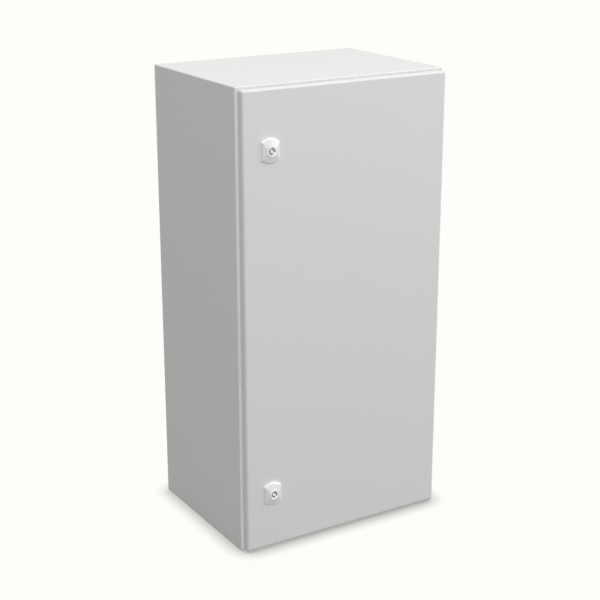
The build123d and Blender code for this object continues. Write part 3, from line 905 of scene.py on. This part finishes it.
@dataclass
class CabinetShell:
    """Folded and welded body with its flange, forward lip and gasket landing."""

    rack: FinishRack
    wall: float = 1.5 * MM
    fold: float = 1.7 * MM
    lip_fold: float = 3.0 * MM
    inner_fold: float = 1.5 * MM
    rim_height: float = 6.5 * MM
    lip_inset: float = 24.5 * MM
    landing: float = 5.5 * MM
    hole_radius: float = 4.5 * MM
    hole_edge: float = 25.0 * MM
    cut_out: tuple[float, float] = (260.0 * MM, 120.0 * MM)
    cut_corner: float = 6.0 * MM
    hole_sides: int = 40
    segments: int = 6

    def build(self) -> None:
        """Model the body and hand it over."""
        low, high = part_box("cabinet_body")
        front = low.y + self.rim_height
        shell = box_piece("body_shell", (low.x, front, low.z), high)
        self._fold_rim(shell, low, high, front)
        apply_modifier(shell, "SOLIDIFY", thickness=self.wall, offset=-1.0, use_even_offset=True)
        self._drill(shell, low, high)
        shade(shell)
        self.rack.finish_piece(shell, "cabinet", "cabinet_body")

    def _fold_rim(self, shell: Piece, low: Vector, high: Vector, front: float) -> None:
        """Fold the flange, the lip and the landing out of the front, and round the folds.

        Args:
            shell: The closed box.
            low: The body's lowest corner.
            high: The body's highest corner.
            front: The flange's front plane.
        """
        planes = ((0, low.x), (0, high.x), (1, front), (1, high.y), (2, low.z), (2, high.z))

        def outer(a: Vector, b: Vector) -> bool:
            """Both ends lie on the same two outer planes."""
            shared = (max(abs(a[axis] - at), abs(b[axis] - at)) < TOUCH for axis, at in planes)
            return sum(shared) >= 2

        def off_lip(place: Vector) -> float:
            """How far a place is from the lip's outer face."""
            inset = min(place.x - low.x, high.x - place.x, place.z - low.z, high.z - place.z)
            return abs(inset - self.lip_inset)

        def on_lip(a: Vector, b: Vector, depth: float) -> bool:
            """Both ends lie on the lip's outer face at one depth."""
            ends = (abs(end.y - depth) < TOUCH and off_lip(end) < TOUCH for end in (a, b))
            return all(ends)

        with Bench(shell) as bench:
            bench.faces(lambda centre, normal: normal.y < -FACING)
            bench.inset(self.lip_inset)
            bench.extrude((0, -self.rim_height, 0))
            bench.inset(self.landing)
            bpy.ops.mesh.delete(type="FACE")
            bench.edges(outer)
            bench.round_off(self.fold, self.segments)
            bench.edges(lambda a, b: on_lip(a, b, low.y))
            bench.round_off(self.lip_fold, self.segments)
            bench.edges(lambda a, b: on_lip(a, b, front))
            bench.round_off(self.inner_fold, self.segments)

    def _drill(self, shell: Piece, low: Vector, high: Vector) -> None:
        """Make the wall fixing holes and the cut-out in the base.

        Args:
            shell: The folded shell.
            low: The body's lowest corner.
            high: The body's highest corner.
        """
        for x in (low.x + self.hole_edge, high.x - self.hole_edge):
            for z in (low.z + self.hole_edge, high.z - self.hole_edge):
                drill = rod_piece("drill", self.hole_radius, -THROUGH, THROUGH, self.hole_sides)
                drill.matrix_world = towards_front(x, high.y, z)
                cut(shell, settle(drill))
        middle = (low.y + self.rim_height + high.y) / 2
        half_x, half_y = self.cut_out[0] / 2, self.cut_out[1] / 2
        corner = Vector((half_x, half_y, THROUGH))
        centre = Vector((0, middle, 0))
        punch = box_piece("punch", centre - corner, centre + corner)
        with Bench(punch) as bench:
            bench.edges(lambda a, b: abs(a.z - b.z) > MM)
            bench.round_off(self.cut_corner, self.segments)
        cut(shell, punch)


@dataclass
class DoorSkin:
    """Pressed tray door, folded on four sides, with its lock holes and hinge notches."""

    rack: FinishRack
    wall: float = DOOR_WALL
    fold: float = 3.5 * MM
    lock_hole: float = 11.2 * MM
    lock_flats: float = 20.4 * MM
    notch_half: float = 22.0 * MM
    notch_lip: float = 2.5 * MM
    drip_notch: float = 2.8 * MM
    drip_side: float = 53.5 * MM
    hole_sides: int = 48
    drip_sides: int = 32
    segments: int = 7

    def build(self) -> None:
        """Model the door and hand it over."""
        low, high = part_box("door_panel")
        skin = box_piece("door_skin", low, high)
        with Bench(skin) as bench:
            bench.faces(lambda centre, normal: normal.y > FACING)
            bpy.ops.mesh.delete(type="ONLY_FACE")
            bench.edges(lambda a, b: min(a.y, b.y) < low.y + TOUCH)
            bench.round_off(self.fold, self.segments)
        apply_modifier(skin, "SOLIDIFY", thickness=self.wall, offset=-1.0, use_even_offset=True)
        self._notch(skin, low, high)
        shade(skin)
        self.rack.finish_piece(skin, "door", "door_panel")

    def _notch(self, skin: Piece, low: Vector, high: Vector) -> None:
        """Make the lock holes, the hinge notches and the small drip notch.

        Args:
            skin: The folded tray.
            low: The door's lowest corner.
            high: The door's highest corner.
        """
        for z in HINGE_HEIGHTS:
            near = (high.x - 2 * self.wall, low.y + self.notch_lip, z - self.notch_half)
            far = (high.x + self.wall, high.y + self.wall, z + self.notch_half)
            cut(skin, box_piece("notch", near, far))
        for level in ("lower", "upper"):
            near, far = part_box(f"{level}_lock_housing")
            punch = rod_piece("punch", self.lock_hole, -THROUGH, THROUGH, self.hole_sides)
            with Bench(punch) as bench:
                bench.flatten(self.lock_flats / 2)
            punch.matrix_world = towards_front((near.x + far.x) / 2, low.y, (near.z + far.z) / 2)
            cut(skin, settle(punch))
        drip = rod_piece("drip", self.drip_notch, -THROUGH, THROUGH, self.drip_sides)
        drip.matrix_world = Matrix.Translation((low.x + self.drip_side, high.y, high.z))
        cut(skin, settle(drip))


@dataclass
class FoamGasket:
    """Foamed gasket ring with rounded corners and a domed top."""

    rack: FinishRack
    width: float = 12.5 * MM
    corner: float = 15.5 * MM
    corner_segments: int = 10
    dome: float = 4.6 * MM
    dome_segments: int = 6

    def build(self) -> None:
        """Model the gasket and hand it over."""
        low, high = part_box("door_gasket")
        ring = box_piece("foam_gasket", low, high)

        def depth(end: Vector) -> float:
            """How far a place is inside the ring's outline."""
            reach_x = (high.x - low.x) / 2 - abs(end.x - (low.x + high.x) / 2)
            reach_z = (high.z - low.z) / 2 - abs(end.z - (low.z + high.z) / 2)
            return min(reach_x, reach_z)

        def rim(a: Vector, b: Vector) -> bool:
            """A rear edge of the inner or the outer outline, not one that crosses the ring."""
            return min(a.y, b.y) > high.y - TOUCH and abs(depth(a) - depth(b)) < 0.8 * self.width

        with Bench(ring) as bench:
            bench.edges(lambda a, b: abs(a.y - b.y) > MM)
            bench.round_off(self.corner, self.corner_segments)
            bench.faces(lambda centre, normal: abs(normal.y) > FACING)
            bench.inset(self.width)
            bpy.ops.mesh.bridge_edge_loops()
            bench.edges(rim)
            bench.round_off(self.dome, self.dome_segments)
        shade(ring, angle=60.0)
        self.rack.finish_piece(ring, "door", "door_gasket")


THREAD_ROOT = 0.4  # where a turn's root and crest begin, as shares of the pitch
THREAD_CREST = 0.85
THREAD_DEPTH = 0.55


@dataclass(frozen=True)
class Thread:
    """Sizes of one metric thread and its hexagon."""

    radius: float
    pitch: float
    flats: float
    hexagon: float
    flange: float = 0.0
    flange_height: float = 0.0


M5 = Thread(2.5 * MM, 0.8 * MM, 8.0 * MM, 4.0 * MM)
M6 = Thread(3.0 * MM, 1.0 * MM, 10.0 * MM, 5.0 * MM, 6.0 * MM, 1.6 * MM)
M8 = Thread(4.0 * MM, 1.25 * MM, 13.0 * MM, 6.4 * MM, 8.9 * MM, 1.6 * MM)


@dataclass
class FastenerBox:
    """Models each kind of fastener once, on its own axes, and copies it to its places."""

    rack: FinishRack
    sides: int = 36
    fine_sides: int = 48
    hexagon_face: float = 0.96  # radii of the face and of the chamfer, as shares of half the flats
    hexagon_reach: float = 1.3
    hexagon_chamfer: float = 30.0
    flange_rim: float = 0.55  # heights of the rim and of the cone's top, as shares of the flange
    flange_top: float = 1.25
    flange_waist: float = 0.93
    edge_round: float = 0.15 * MM
    bore_gap: float = 0.05 * MM
    plate_collar: tuple[float, float] = (7.0 * MM, 12.0 * MM)
    plate_thread_start: float = 14.0 * MM
    earth_thread: float = 11.0 * MM
    gland_thread_start: float = 4.0 * MM
    leaf_thread_start: float = 2.0 * MM
    leaf_stud_reach: float = 36.0 * MM
    bracket_screw_reach: float = 14.5 * MM
    screw_head: tuple[float, float] = (4.5 * MM, 3.0 * MM)
    screw_key: float = 1.75 * MM

    def threaded(
        self,
        name: str,
        thread: Thread,
        length: float,
        start: float,
        collar: tuple[float, float] = (0.0, 0.0),
    ) -> Piece:
        """Turn a stud with its thread, its chamfered tip and its collar.

        Args:
            name: The model's name.
            thread: Its thread.
            length: Its length from the wall.
            start: Where its thread begins.
            collar: Radius and height of its spacing collar.

        Returns:
            The model, which stands on the XY plane.
        """
        depth = THREAD_DEPTH * thread.pitch
        tip = 1.2 * depth
        profile = [(0.0, 0.0)]
        if collar[1]:
            profile += [(collar[0], 0.0), (collar[0], collar[1])]
        profile += [(thread.radius, collar[1]), (thread.radius, start)]
        z = start
        while z + thread.pitch < length - tip:
            profile += [
                (thread.radius - depth, z + THREAD_ROOT * thread.pitch),
                (thread.radius, z + THREAD_CREST * thread.pitch),
                (thread.radius, z + thread.pitch),
            ]
            z += thread.pitch
        profile += [(thread.radius, length - tip), (thread.radius - depth, length), (0.0, length)]
        model = turned_piece(name, profile, self.sides)
        shade(model, angle=25.0)
        return model

    def hexagon(self, name: str, flats: float, low: float, high: float) -> Piece:
        """Make a hexagon with its upper corners chamfered.

        Args:
            name: The model's name.
            flats: Its width across flats.
            low: The height of its lower face.
            high: The height of its upper face.

        Returns:
            The model.
        """
        body = rod_piece(name, flats / math.sqrt(3), low, high, 6)
        face = self.hexagon_face * flats / 2
        reach = self.hexagon_reach * flats / 2
        shoulder = high - (reach - face) * math.tan(math.radians(self.hexagon_chamfer))
        dome = [(0, low - MM), (reach, low - MM), (reach, shoulder), (face, high), (0, high)]
        trim_to(body, turned_piece("dome", dome, self.fine_sides))
        return body

    def nut(self, name: str, thread: Thread) -> Piece:
        """Make a nut, with a flange where its thread's sizes have one.

        Args:
            name: The model's name.
            thread: Its thread.

        Returns:
            The model, which stands on the XY plane.
        """
        height = thread.flange_height + thread.hexagon
        body = self.hexagon(name, thread.flats, 0.0, height)
        if thread.flange:
            rim = self.flange_rim * thread.flange_height
            top = self.flange_top * thread.flange_height
            waist = self.flange_waist * thread.flats / 2
            profile = [(0, 0), (thread.flange, 0), (thread.flange, rim), (waist, top), (0, top)]
            unite(body, turned_piece("flange", profile, self.fine_sides))
        self.tap(body, thread.radius, 0.5 * thread.pitch, 0.0, height, self.sides)
        soften(body, self.edge_round, angle=25.0)
        shade(body, angle=40.0)
        return body

    def tap(
        self, nut: Piece, radius: float, lead: float, low: float, high: float, sides: int
    ) -> None:
        """Bore a nut through, with a lead at both ends.

        Args:
            nut: The nut.
            radius: The radius of what goes through it.
            lead: How wide and how deep the leads are.
            low: The height of its lower face.
            high: The height of its upper face.
            sides: How many sides the bore has.
        """
        bore = radius + self.bore_gap
        mouth = bore + lead + MM
        profile = [
            (0, low - MM),
            (mouth, low - MM),
            (bore, low + lead),
            (bore, high - lead),
            (mouth, high + MM),
            (0, high + MM),
        ]
        cut(nut, turned_piece("tap", profile, sides))

    def spread(self, model: Piece, node: str, places: Sequence[Matrix], body: str) -> None:
        """Copy a model to its places, each copy standing for a solid of one node.

        Args:
            model: What is copied.
            node: The node whose solids the copies replace.
            places: Where the copies go.
            body: The body that they move with.
        """
        for number, place in enumerate(places, 1):
            suffix = f"_{number}" if len(places) > 1 else ""
            copy = placed_copy(model, f"fitted_{node}{suffix}", place)
            self.rack.finish_piece(copy, body, node)

    def build(self) -> None:
        """Fit every stud, nut and screw outside the locks."""
        self._plate_and_earth()
        self._gland()
        self._hinge_fasteners()

    def _plate_and_earth(self) -> None:
        """Fit the mounting plate's studs and nuts, and both earthing points."""
        low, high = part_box("plate_studs")
        edge = self.plate_collar[0]
        sides = (low.x + edge, high.x - edge)
        corners = [(x, z) for x in sides for z in (low.z + edge, high.z - edge)]
        start = self.plate_thread_start
        stud = self.threaded("plate_stud_model", M8, high.y - low.y, start, self.plate_collar)
        places = [towards_front(x, high.y, z) for x, z in corners]
        self.spread(stud, "plate_studs", places, "cabinet")
        nut = self.nut("flange_nut_model", M8)
        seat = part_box("plate_nuts")[1].y
        self.spread(nut, "plate_nuts", [towards_front(x, seat, z) for x, z in corners], "cabinet")
        for side, body in (("body", "cabinet"), ("door", "door")):
            low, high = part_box(f"{side}_earth_stud")
            x, z = (low.x + high.x) / 2, (low.z + high.z) / 2
            length = high.y - low.y
            seat_low, seat_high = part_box(f"{side}_earth_nut")
            if side == "body":
                place, seat_place = towards_front(x, high.y, z), towards_front(x, seat_high.y, z)
            else:
                place, seat_place = towards_back(x, low.y, z), towards_back(x, seat_low.y, z)
            earth = self.threaded(f"{side}_earth_model", M8, length, length - self.earth_thread)
            self.spread(earth, f"{side}_earth_stud", [place], body)
            self.spread(nut, f"{side}_earth_nut", [seat_place], body)
            self._scrap(earth)
        self._scrap(stud, nut)

    def _gland(self) -> None:
        """Fit the gland plate's studs and nuts."""
        low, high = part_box("gland_studs")
        edge = M5.radius
        sides = (low.x + edge, high.x - edge)
        corners = [(x, y) for x in sides for y in (low.y + edge, high.y - edge)]
        stud = self.threaded("gland_stud_model", M5, high.z - low.z, self.gland_thread_start)
        nut = self.nut("gland_nut_model", M5)
        for model, node in ((stud, "gland_studs"), (nut, "gland_nuts")):
            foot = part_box(node)[0].z
            places = [Matrix.Translation((x, y, foot)) for x, y in corners]
            self.spread(model, node, places, "cabinet")
        self._scrap(stud, nut)

    def _hinge_fasteners(self) -> None:
        """Fit the leaf studs and nuts and the bracket screws."""
        low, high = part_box("leaf_studs")
        x = (low.x + high.x) / 2
        heights = [z + side * self.leaf_stud_reach for z in HINGE_HEIGHTS for side in (-1, 1)]
        stud = self.threaded("leaf_stud_model", M5, high.y - low.y, self.leaf_thread_start)
        nut = self.nut("leaf_nut_model", M5)
        for model, node in ((stud, "leaf_studs"), (nut, "leaf_nuts")):
            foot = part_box(node)[0].y
            self.spread(model, node, [towards_back(x, foot, z) for z in heights], "door")
        low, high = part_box("bracket_screws")
        x = (low.x + high.x) / 2
        heights = [z + side * self.bracket_screw_reach for z in HINGE_HEIGHTS for side in (-1, 1)]
        rear = high.y - self.screw_head[1]
        screw = self._socket_screw(rear - low.y)
        self.spread(screw, "bracket_screws", [towards_back(x, rear, z) for z in heights], "cabinet")
        self._scrap(stud, nut, screw)

    def _socket_screw(self, length: float) -> Piece:
        """Make a button-headed screw with a hexagon socket, its seat on the XY plane."""
        head, crown = self.screw_head
        profile = [
            (0, -length),
            (M5.radius, -length),
            (M5.radius, 0),
            (head, 0),
            (head, 0.9 * MM),
            (0.86 * head, 2.0 * MM),
            (0.62 * head, 2.75 * MM),
            (0.4 * head, crown),
            (0, crown),
        ]
        model = turned_piece("bracket_screw_model", profile, self.sides)
        cut(model, rod_piece("key", self.screw_key, 1.2 * MM, 5.0 * MM, 6))
        shade(model, angle=30.0)
        return model

    def _scrap(self, *models: Piece) -> None:
        """Throw models away once they have been copied."""
        for model in models:
            bpy.data.objects.remove(model)


@dataclass
class QuarterTurnLock:
    """Faceted lock with a turning insert; built on its own axes and fitted twice."""

    rack: FinishRack
    fasteners: FastenerBox
    half_height: float = 20.5 * MM
    arc: float = 25.0 * MM
    flats: float = 32.0 * MM
    rim: float = 5.0 * MM
    rim_round: float = 2.0 * MM
    ridge_round: float = 0.5 * MM
    shoulder: float = 8.0 * MM
    nose: float = 9.2 * MM
    proud: float = 9.0 * MM
    nose_round: float = 0.8 * MM
    barrel: float = 11.0 * MM
    barrel_flats: float = 20.0 * MM
    thread_pitch: float = 1.5 * MM
    thread_depth: float = 0.7 * MM
    thread_start: float = 1.5 * MM
    cam_front: float = 18.8 * MM
    cam_thickness: float = 3.0 * MM
    cam_clearance: float = 0.5 * MM
    bore: float = 8.0 * MM
    core: float = 7.95 * MM
    core_recess: float = 0.3 * MM
    core_seat: float = 6.0 * MM
    core_lead: float = 0.35 * MM
    shaft: float = 5.95 * MM
    shaft_bore: float = 6.0 * MM
    square_half: float = 4.0 * MM
    well: float = 5.9 * MM
    well_depth: float = 6.0 * MM
    post: float = 2.4 * MM
    post_recess: float = 0.3 * MM
    bit_width: float = 3.0 * MM
    bit_reach: float = 4.6 * MM
    key_turn: float = 135.0
    nut_flats: float = 27.0 * MM
    nut_height: float = 6.0 * MM
    nut_lead: float = 0.8 * MM
    screw_length: float = 8.0 * MM
    cam_round: float = 0.5 * MM
    post_round: float = 0.25 * MM
    nut_round: float = 0.25 * MM
    sides: int = 96
    barrel_sides: int = 60
    bit_sides: int = 64

    def build(self) -> None:
        """Model one lock and fit it at both heights."""
        fixed = (
            ("lock_case", "lock_housing", self._housing()),
            ("lock_ring_nut", "lock_nut", self._nut()),
        )
        turning = (
            ("lock_insert", "lock_core", self._core()),
            ("cam_bolt", "cam_screw", self._screw()),
        )
        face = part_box("door_panel")[0].y
        for level in ("lower", "upper"):
            low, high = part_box(f"{level}_lock_housing")
            place = towards_front((low.x + high.x) / 2, face, (low.z + high.z) / 2)
            for body, models in (("door", fixed), (f"{level}_lock", turning)):
                for name, solid, model in models:
                    piece = placed_copy(model, f"{level}_{name}", place)
                    self.rack.finish_piece(piece, body, f"{level}_{solid}")
            self.rack.finish_solid(f"{level}_lock_cam", self.cam_round)
        for _, _, model in (*fixed, *turning):
            bpy.data.objects.remove(model)

    def _housing(self) -> Piece:
        """Model the faceted housing with its nose and its threaded barrel.

        Returns:
            The housing, whose seat is the XY plane.
        """
        half = self.flats / 2
        top = self.proud - self.core_recess
        rise = self.shoulder - self.rim
        run = half - self.nose
        waist = self.arc - (top - self.rim) * (self.half_height - self.nose) / rise
        profile = [(0, 0), (self.arc, 0), (self.arc, self.rim), (waist, top), (0, top)]
        shift = self.arc - self.half_height
        case = turned_piece("lock_case_model", profile, self.sides)
        other = turned_piece("other_round", profile, self.sides)
        case.matrix_world = Matrix.Translation((0, -shift, 0))
        other.matrix_world = Matrix.Translation((0, shift, 0))
        trim_to(settle(case), settle(other))

        def ridge(a: Vector, b: Vector) -> bool:
            """A corner of the wall, or an edge where a side's slope meets a fan."""
            inward = [half - abs(end.x) for end in (a, b)]
            heights = [x * rise / run for x in inward]
            slope = [abs(end.z - self.rim - z) < TOUCH for end, z in zip((a, b), heights)]
            wall = [abs(x) < TOUCH for x in inward]
            return abs(a.z - b.z) > TOUCH and (all(slope) or all(wall))

        def outline(a: Vector, b: Vector) -> bool:
            """An edge of the wall's top."""
            return max(abs(a.z - self.rim), abs(b.z - self.rim)) < 0.1 * MM

        with Bench(case) as bench:
            for side in (1, -1):
                bench.slice_off((side * half, 0, 0), (side, 0, 0))
                bench.slice_off((side * half, 0, self.rim), (side * rise, 0, run))
            bench.close_seams()
            bench.edges(ridge)
            bench.round_off(self.ridge_round, 2)
            bench.edges(outline)
            bench.round_off(self.rim_round, 5)
        nose = rod_piece("nose", self.nose, 0.5 * MM, self.proud, self.sides)
        with Bench(nose) as bench:
            bench.edges(lambda a, b: min(a.z, b.z) > self.proud - TOUCH)
            bench.round_off(self.nose_round, 4)
        unite(case, nose)
        cut(case, rod_piece("bore", self.bore, -self.core_seat, self.proud + MM, self.sides))
        shade(case, angle=30.0)
        return joined("lock_case_model", [case, self._barrel()])

    def _barrel(self) -> Piece:
        """Model the threaded barrel behind the housing, with its two flats.

        Returns:
            The barrel.
        """
        pitch, depth, outer = self.thread_pitch, self.thread_depth, self.barrel
        length = self.cam_front - self.cam_clearance
        z = -self.thread_start
        profile = [(0, 0), (outer, 0), (outer, z)]
        while z - pitch > MM - length:
            profile += [
                (outer - depth, z - THREAD_ROOT * pitch),
                (outer, z - THREAD_CREST * pitch),
                (outer, z - pitch),
            ]
            z -= pitch
        tip = 0.8 * MM
        profile += [(outer, tip - length), (outer - tip, -length), (0, -length)]
        barrel = turned_piece("barrel", profile, self.barrel_sides)
        with Bench(barrel) as bench:
            bench.flatten(self.barrel_flats / 2)
        for radius, end in ((self.bore, -self.core_seat), (self.shaft_bore, -MM - length)):
            cut(barrel, rod_piece("bore", radius, end, MM, self.barrel_sides))
        shade(barrel, angle=25.0)
        return barrel

    def _core(self) -> Piece:
        """Model the turning insert with its key well, its two-bit post, its shaft and its square.

        Returns:
            The insert.
        """
        top = self.proud - self.core_recess
        floor = top - self.well_depth
        end = self.cam_front
        lead = self.core_lead
        profile = [
            (0, -end),
            (self.shaft, -end),
            (self.shaft, -self.core_seat),
            (self.core, -self.core_seat),
            (self.core, top - lead),
            (self.core - lead, top),
            (self.well + lead, top),
            (self.well, top - lead),
            (self.well, floor),
            (0, floor),
        ]
        insert = turned_piece("lock_insert_model", profile, self.sides)
        foot, crown = floor - 0.2 * MM, top - self.post_recess
        post = rod_piece("post", self.post, foot, crown, self.fasteners.fine_sides)
        half, reach = self.bit_width / 2, self.bit_reach
        bits = box_piece("bits", (-reach, -half, foot), (reach, half, crown))
        trim_to(bits, rod_piece("round", reach, floor - MM, top + MM, self.bit_sides))
        unite(post, bits)
        soften(post, self.post_round, segments=3, angle=40.0)
        post.matrix_world = Matrix.Rotation(math.radians(self.key_turn), 4, "Z")
        settle(post)
        half = self.square_half
        low, high = -end - self.cam_thickness, 0.1 * MM - end
        square = box_piece("square", (-half, -half, low), (half, half, high))
        for part in (insert, post, square):
            shade(part)
        whole = joined("lock_insert_model", [insert, post, square])
        rim = top - lead - 0.1 * MM
        edge = self.well + 0.1 * MM
        # the marked well faces take the painted shade of the insert's finish
        mark_faces(whole, WELL_SHADE_MASK, lambda centre: 0 < centre.z < rim and centre.xy.length < edge)
        return whole

    def _nut(self) -> Piece:
        """Model the large hexagon nut behind the door.

        Returns:
            The nut, seated on the door's inner face.
        """
        seat = -DOOR_WALL
        high = seat + self.nut_height
        nut = self.fasteners.hexagon("ring_nut_model", self.nut_flats, seat, high)
        self.fasteners.tap(nut, self.barrel, self.nut_lead, seat, high, self.barrel_sides)
        soften(nut, self.nut_round, angle=25.0)
        nut.matrix_world = Matrix.Translation((0, 0, 2 * seat)) @ Matrix.Rotation(math.pi, 4, "X")
        settle(nut)
        shade(nut, angle=40.0)
        return nut

    def _screw(self) -> Piece:
        """Model the flanged screw that clamps the cam.

        Returns:
            The screw, with its seat behind the cam.
        """
        seat = self.cam_front + self.cam_thickness
        head = self.fasteners.hexagon("cam_bolt_model", M6.flats, 0, M6.flange_height + M6.hexagon)
        top = 1.1 * M6.flange_height
        profile = [
            (0, -self.screw_length),
            (M6.radius, -self.screw_length),
            (M6.radius, 0),
            (M6.flange, 0),
            (M6.flange, 0.6 * M6.flange_height),
            (0.47 * M6.flats, top),
            (0, top),
        ]
        unite(head, turned_piece("stem", profile, self.fasteners.sides))
        soften(head, self.fasteners.edge_round, angle=25.0)
        head.matrix_world = Matrix.Translation((0, 0, -seat)) @ Matrix.Rotation(math.pi, 4, "X")
        settle(head)
        shade(head, angle=40.0)
        return head


@dataclass
class InnerFittings:
    """Plates, rails, seals and hinges, which keep the shape of their solids."""

    rack: FinishRack
    plate_round: float = 0.3 * MM
    rail_round: float = 0.25 * MM
    casting_round: float = 0.4 * MM
    pin_round: float = 0.3 * MM

    def build(self) -> None:
        """Dress each of them."""
        rounded = {"gland_seal": 0.0}
        rounded |= {node: self.plate_round for node in ("mounting_plate", "gland_plate")}
        rounded |= {f"{side}_side_rail": self.rail_round for side in ("lock", "hinge")}
        for level in ("lower", "upper"):
            rounded |= {f"{level}_hinge_{part}": self.casting_round for part in ("bracket", "leaf")}
            rounded[f"{level}_hinge_pin"] = self.pin_round
        for node, radius in rounded.items():
            self.rack.finish_solid(node, radius)


# Studio


@dataclass(frozen=True)
class Lamp:
    """One wide round light that faces the cabinet's middle and casts no shadow."""

    name: str
    towards: Point
    strength: float
    distance: float = 5.0
    size: float = 5.0
    seen_in_gloss: bool = True

    def hang(self, middle: Vector) -> None:
        """Hang the lamp.

        Args:
            middle: The cabinet's middle. A white face there shows the lamp's strength.
        """
        way = Vector(self.towards).normalized()
        bpy.ops.object.select_all(action="DESELECT")
        bpy.ops.object.light_add(type="AREA", location=middle + way * self.distance)
        lamp = bpy.context.view_layer.objects.active
        lamp.name = self.name
        lamp.rotation_euler = way.to_track_quat("Z", "Y").to_euler()
        lamp.visible_glossy = self.seen_in_gloss
        lamp.data.shape = "DISK"
        lamp.data.size = self.size
        lamp.data.energy = self.strength * (math.pi * self.distance) ** 2
        lamp.data.use_shadow = False


@dataclass
class Studio:
    """Pale floor, plain soft light and the camera."""

    middle: Point = (0.0, 0.0, 0.4)
    backdrop: Point = (0.9911, 0.9823, 0.9473)
    floor_colour: Point = (0.10, 0.10, 0.10)
    floor_half: float = 30.0
    sky: float = 0.35
    lamps: tuple[Lamp, ...] = (
        Lamp("left_light", (-0.47, -0.67, 0.57), 0.66),
        Lamp("right_light", (0.81, -0.47, 0.34), 0.80),
        Lamp("top_light", (0.0, -0.09, 1.0), 0.47),
        Lamp("back_light", (0.0, 0.98, 0.17), 0.15, seen_in_gloss=False),
    )
    shadow_reach: float = 32.0 * MM
    shadow_weight: float = 0.84
    shadow_floor: float = 0.45
    eye: Point = (-1.20736, -1.96892, 1.14252)
    yaw: float = 31.47
    pitch: float = 18.16
    lens: float = 81.72
    sensor: float = 36.0
    far: float = 200.0

    def build(self) -> None:
        """Set up the floor, the light and the camera."""
        self._floor()
        self._world()
        for lamp in self.lamps:
            lamp.hang(Vector(self.middle))
        self._camera()
        bpy.context.scene.view_settings.view_transform = "Standard"

    def _show(self, wiring: Wiring, light: Node, seen: Node, output: str) -> None:
        """Give one shader to rays that carry light and another to rays that see the background.

        Args:
            wiring: The wiring of the floor's material or of the world.
            light: The node whose shader lights the cabinet.
            seen: The node whose shader is seen.
            output: The kind of the output node.
        """
        path = wiring.node("ShaderNodeLightPath").outputs
        seeing = wiring.sum("MAXIMUM", path["Is Camera Ray"], path["Is Glossy Ray"])
        seeing = wiring.sum("MAXIMUM", seeing, path["Is Transmission Ray"])
        either = wiring.node("ShaderNodeMixShader")
        for source, target in zip((seeing, light.outputs[0], seen.outputs[0]), either.inputs):
            wiring.join(source, target)
        wiring.join(either.outputs[0], wiring.node(output).inputs["Surface"])

    def _floor(self) -> None:
        """Lay the pale floor, which keeps the shadow close to the cabinet's base."""
        bpy.ops.object.select_all(action="DESELECT")
        bpy.ops.mesh.primitive_plane_add(size=2 * self.floor_half, location=(0, 0, 0))
        floor = named("studio_floor")
        material = bpy.data.materials.new("studio_floor")
        material.use_nodes = True
        material.node_tree.nodes.clear()
        wiring = Wiring(material.node_tree)
        shown = wiring.node("ShaderNodeEmission", {"Color": opaque(self.backdrop)})
        wiring.join(self._contact_shadow(wiring), shown.inputs["Strength"])
        lit = wiring.node("ShaderNodeBsdfDiffuse", {"Color": opaque(self.floor_colour)})
        self._show(wiring, lit, shown, "ShaderNodeOutputMaterial")
        floor.data.materials.append(material)

    def _contact_shadow(self, wiring: Wiring) -> Socket:
        """Darken the floor close to the base.

        Args:
            wiring: The wiring of the floor's material.

        Returns:
            The floor's brightness, 1 where it is clear of the cabinet.
        """
        reach = {"Distance": self.shadow_reach}
        open_sky = wiring.node("ShaderNodeAmbientOcclusion", reach, samples=16)
        lit = wiring.sum("MULTIPLY", open_sky.outputs["AO"], self.shadow_weight)
        lifted = wiring.sum("ADD", lit, 1 - self.shadow_weight)
        return wiring.sum("MAXIMUM", lifted, self.shadow_floor)

    def _world(self) -> None:
        """Light the scene evenly from all round, behind a background of the floor's colour."""
        world = bpy.data.worlds.new("studio_world")
        world.use_nodes = True
        world.node_tree.nodes.clear()
        wiring = Wiring(world.node_tree)
        white, pale = opaque((1.0, 1.0, 1.0)), opaque(self.backdrop)
        light = wiring.node("ShaderNodeBackground", {"Color": white, "Strength": self.sky})
        shown = wiring.node("ShaderNodeBackground", {"Color": pale, "Strength": 1.0})
        self._show(wiring, light, shown, "ShaderNodeOutputWorld")
        bpy.context.scene.world = world

    def _camera(self) -> None:
        """Put the camera where the photographer stood."""
        bpy.ops.object.select_all(action="DESELECT")
        turn = (math.radians(90 - self.pitch), 0, -math.radians(self.yaw))
        bpy.ops.object.camera_add(location=self.eye, rotation=turn)
        camera = bpy.context.view_layer.objects.active
        camera.name = "studio_camera"
        camera.data.lens = self.lens
        camera.data.sensor_width = self.sensor
        camera.data.clip_end = self.far
        bpy.context.scene.camera = camera


def main() -> None:
    """Build the cabinet piece by piece, then the studio."""
    rack = FinishRack()
    fasteners = FastenerBox(rack)
    lock = QuarterTurnLock(rack, fasteners)
    for maker in (CabinetShell(rack), DoorSkin(rack), FoamGasket(rack), fasteners, lock):
        maker.build()
    InnerFittings(rack).build()
    Studio().build()


if __name__ == "__main__":
    main()
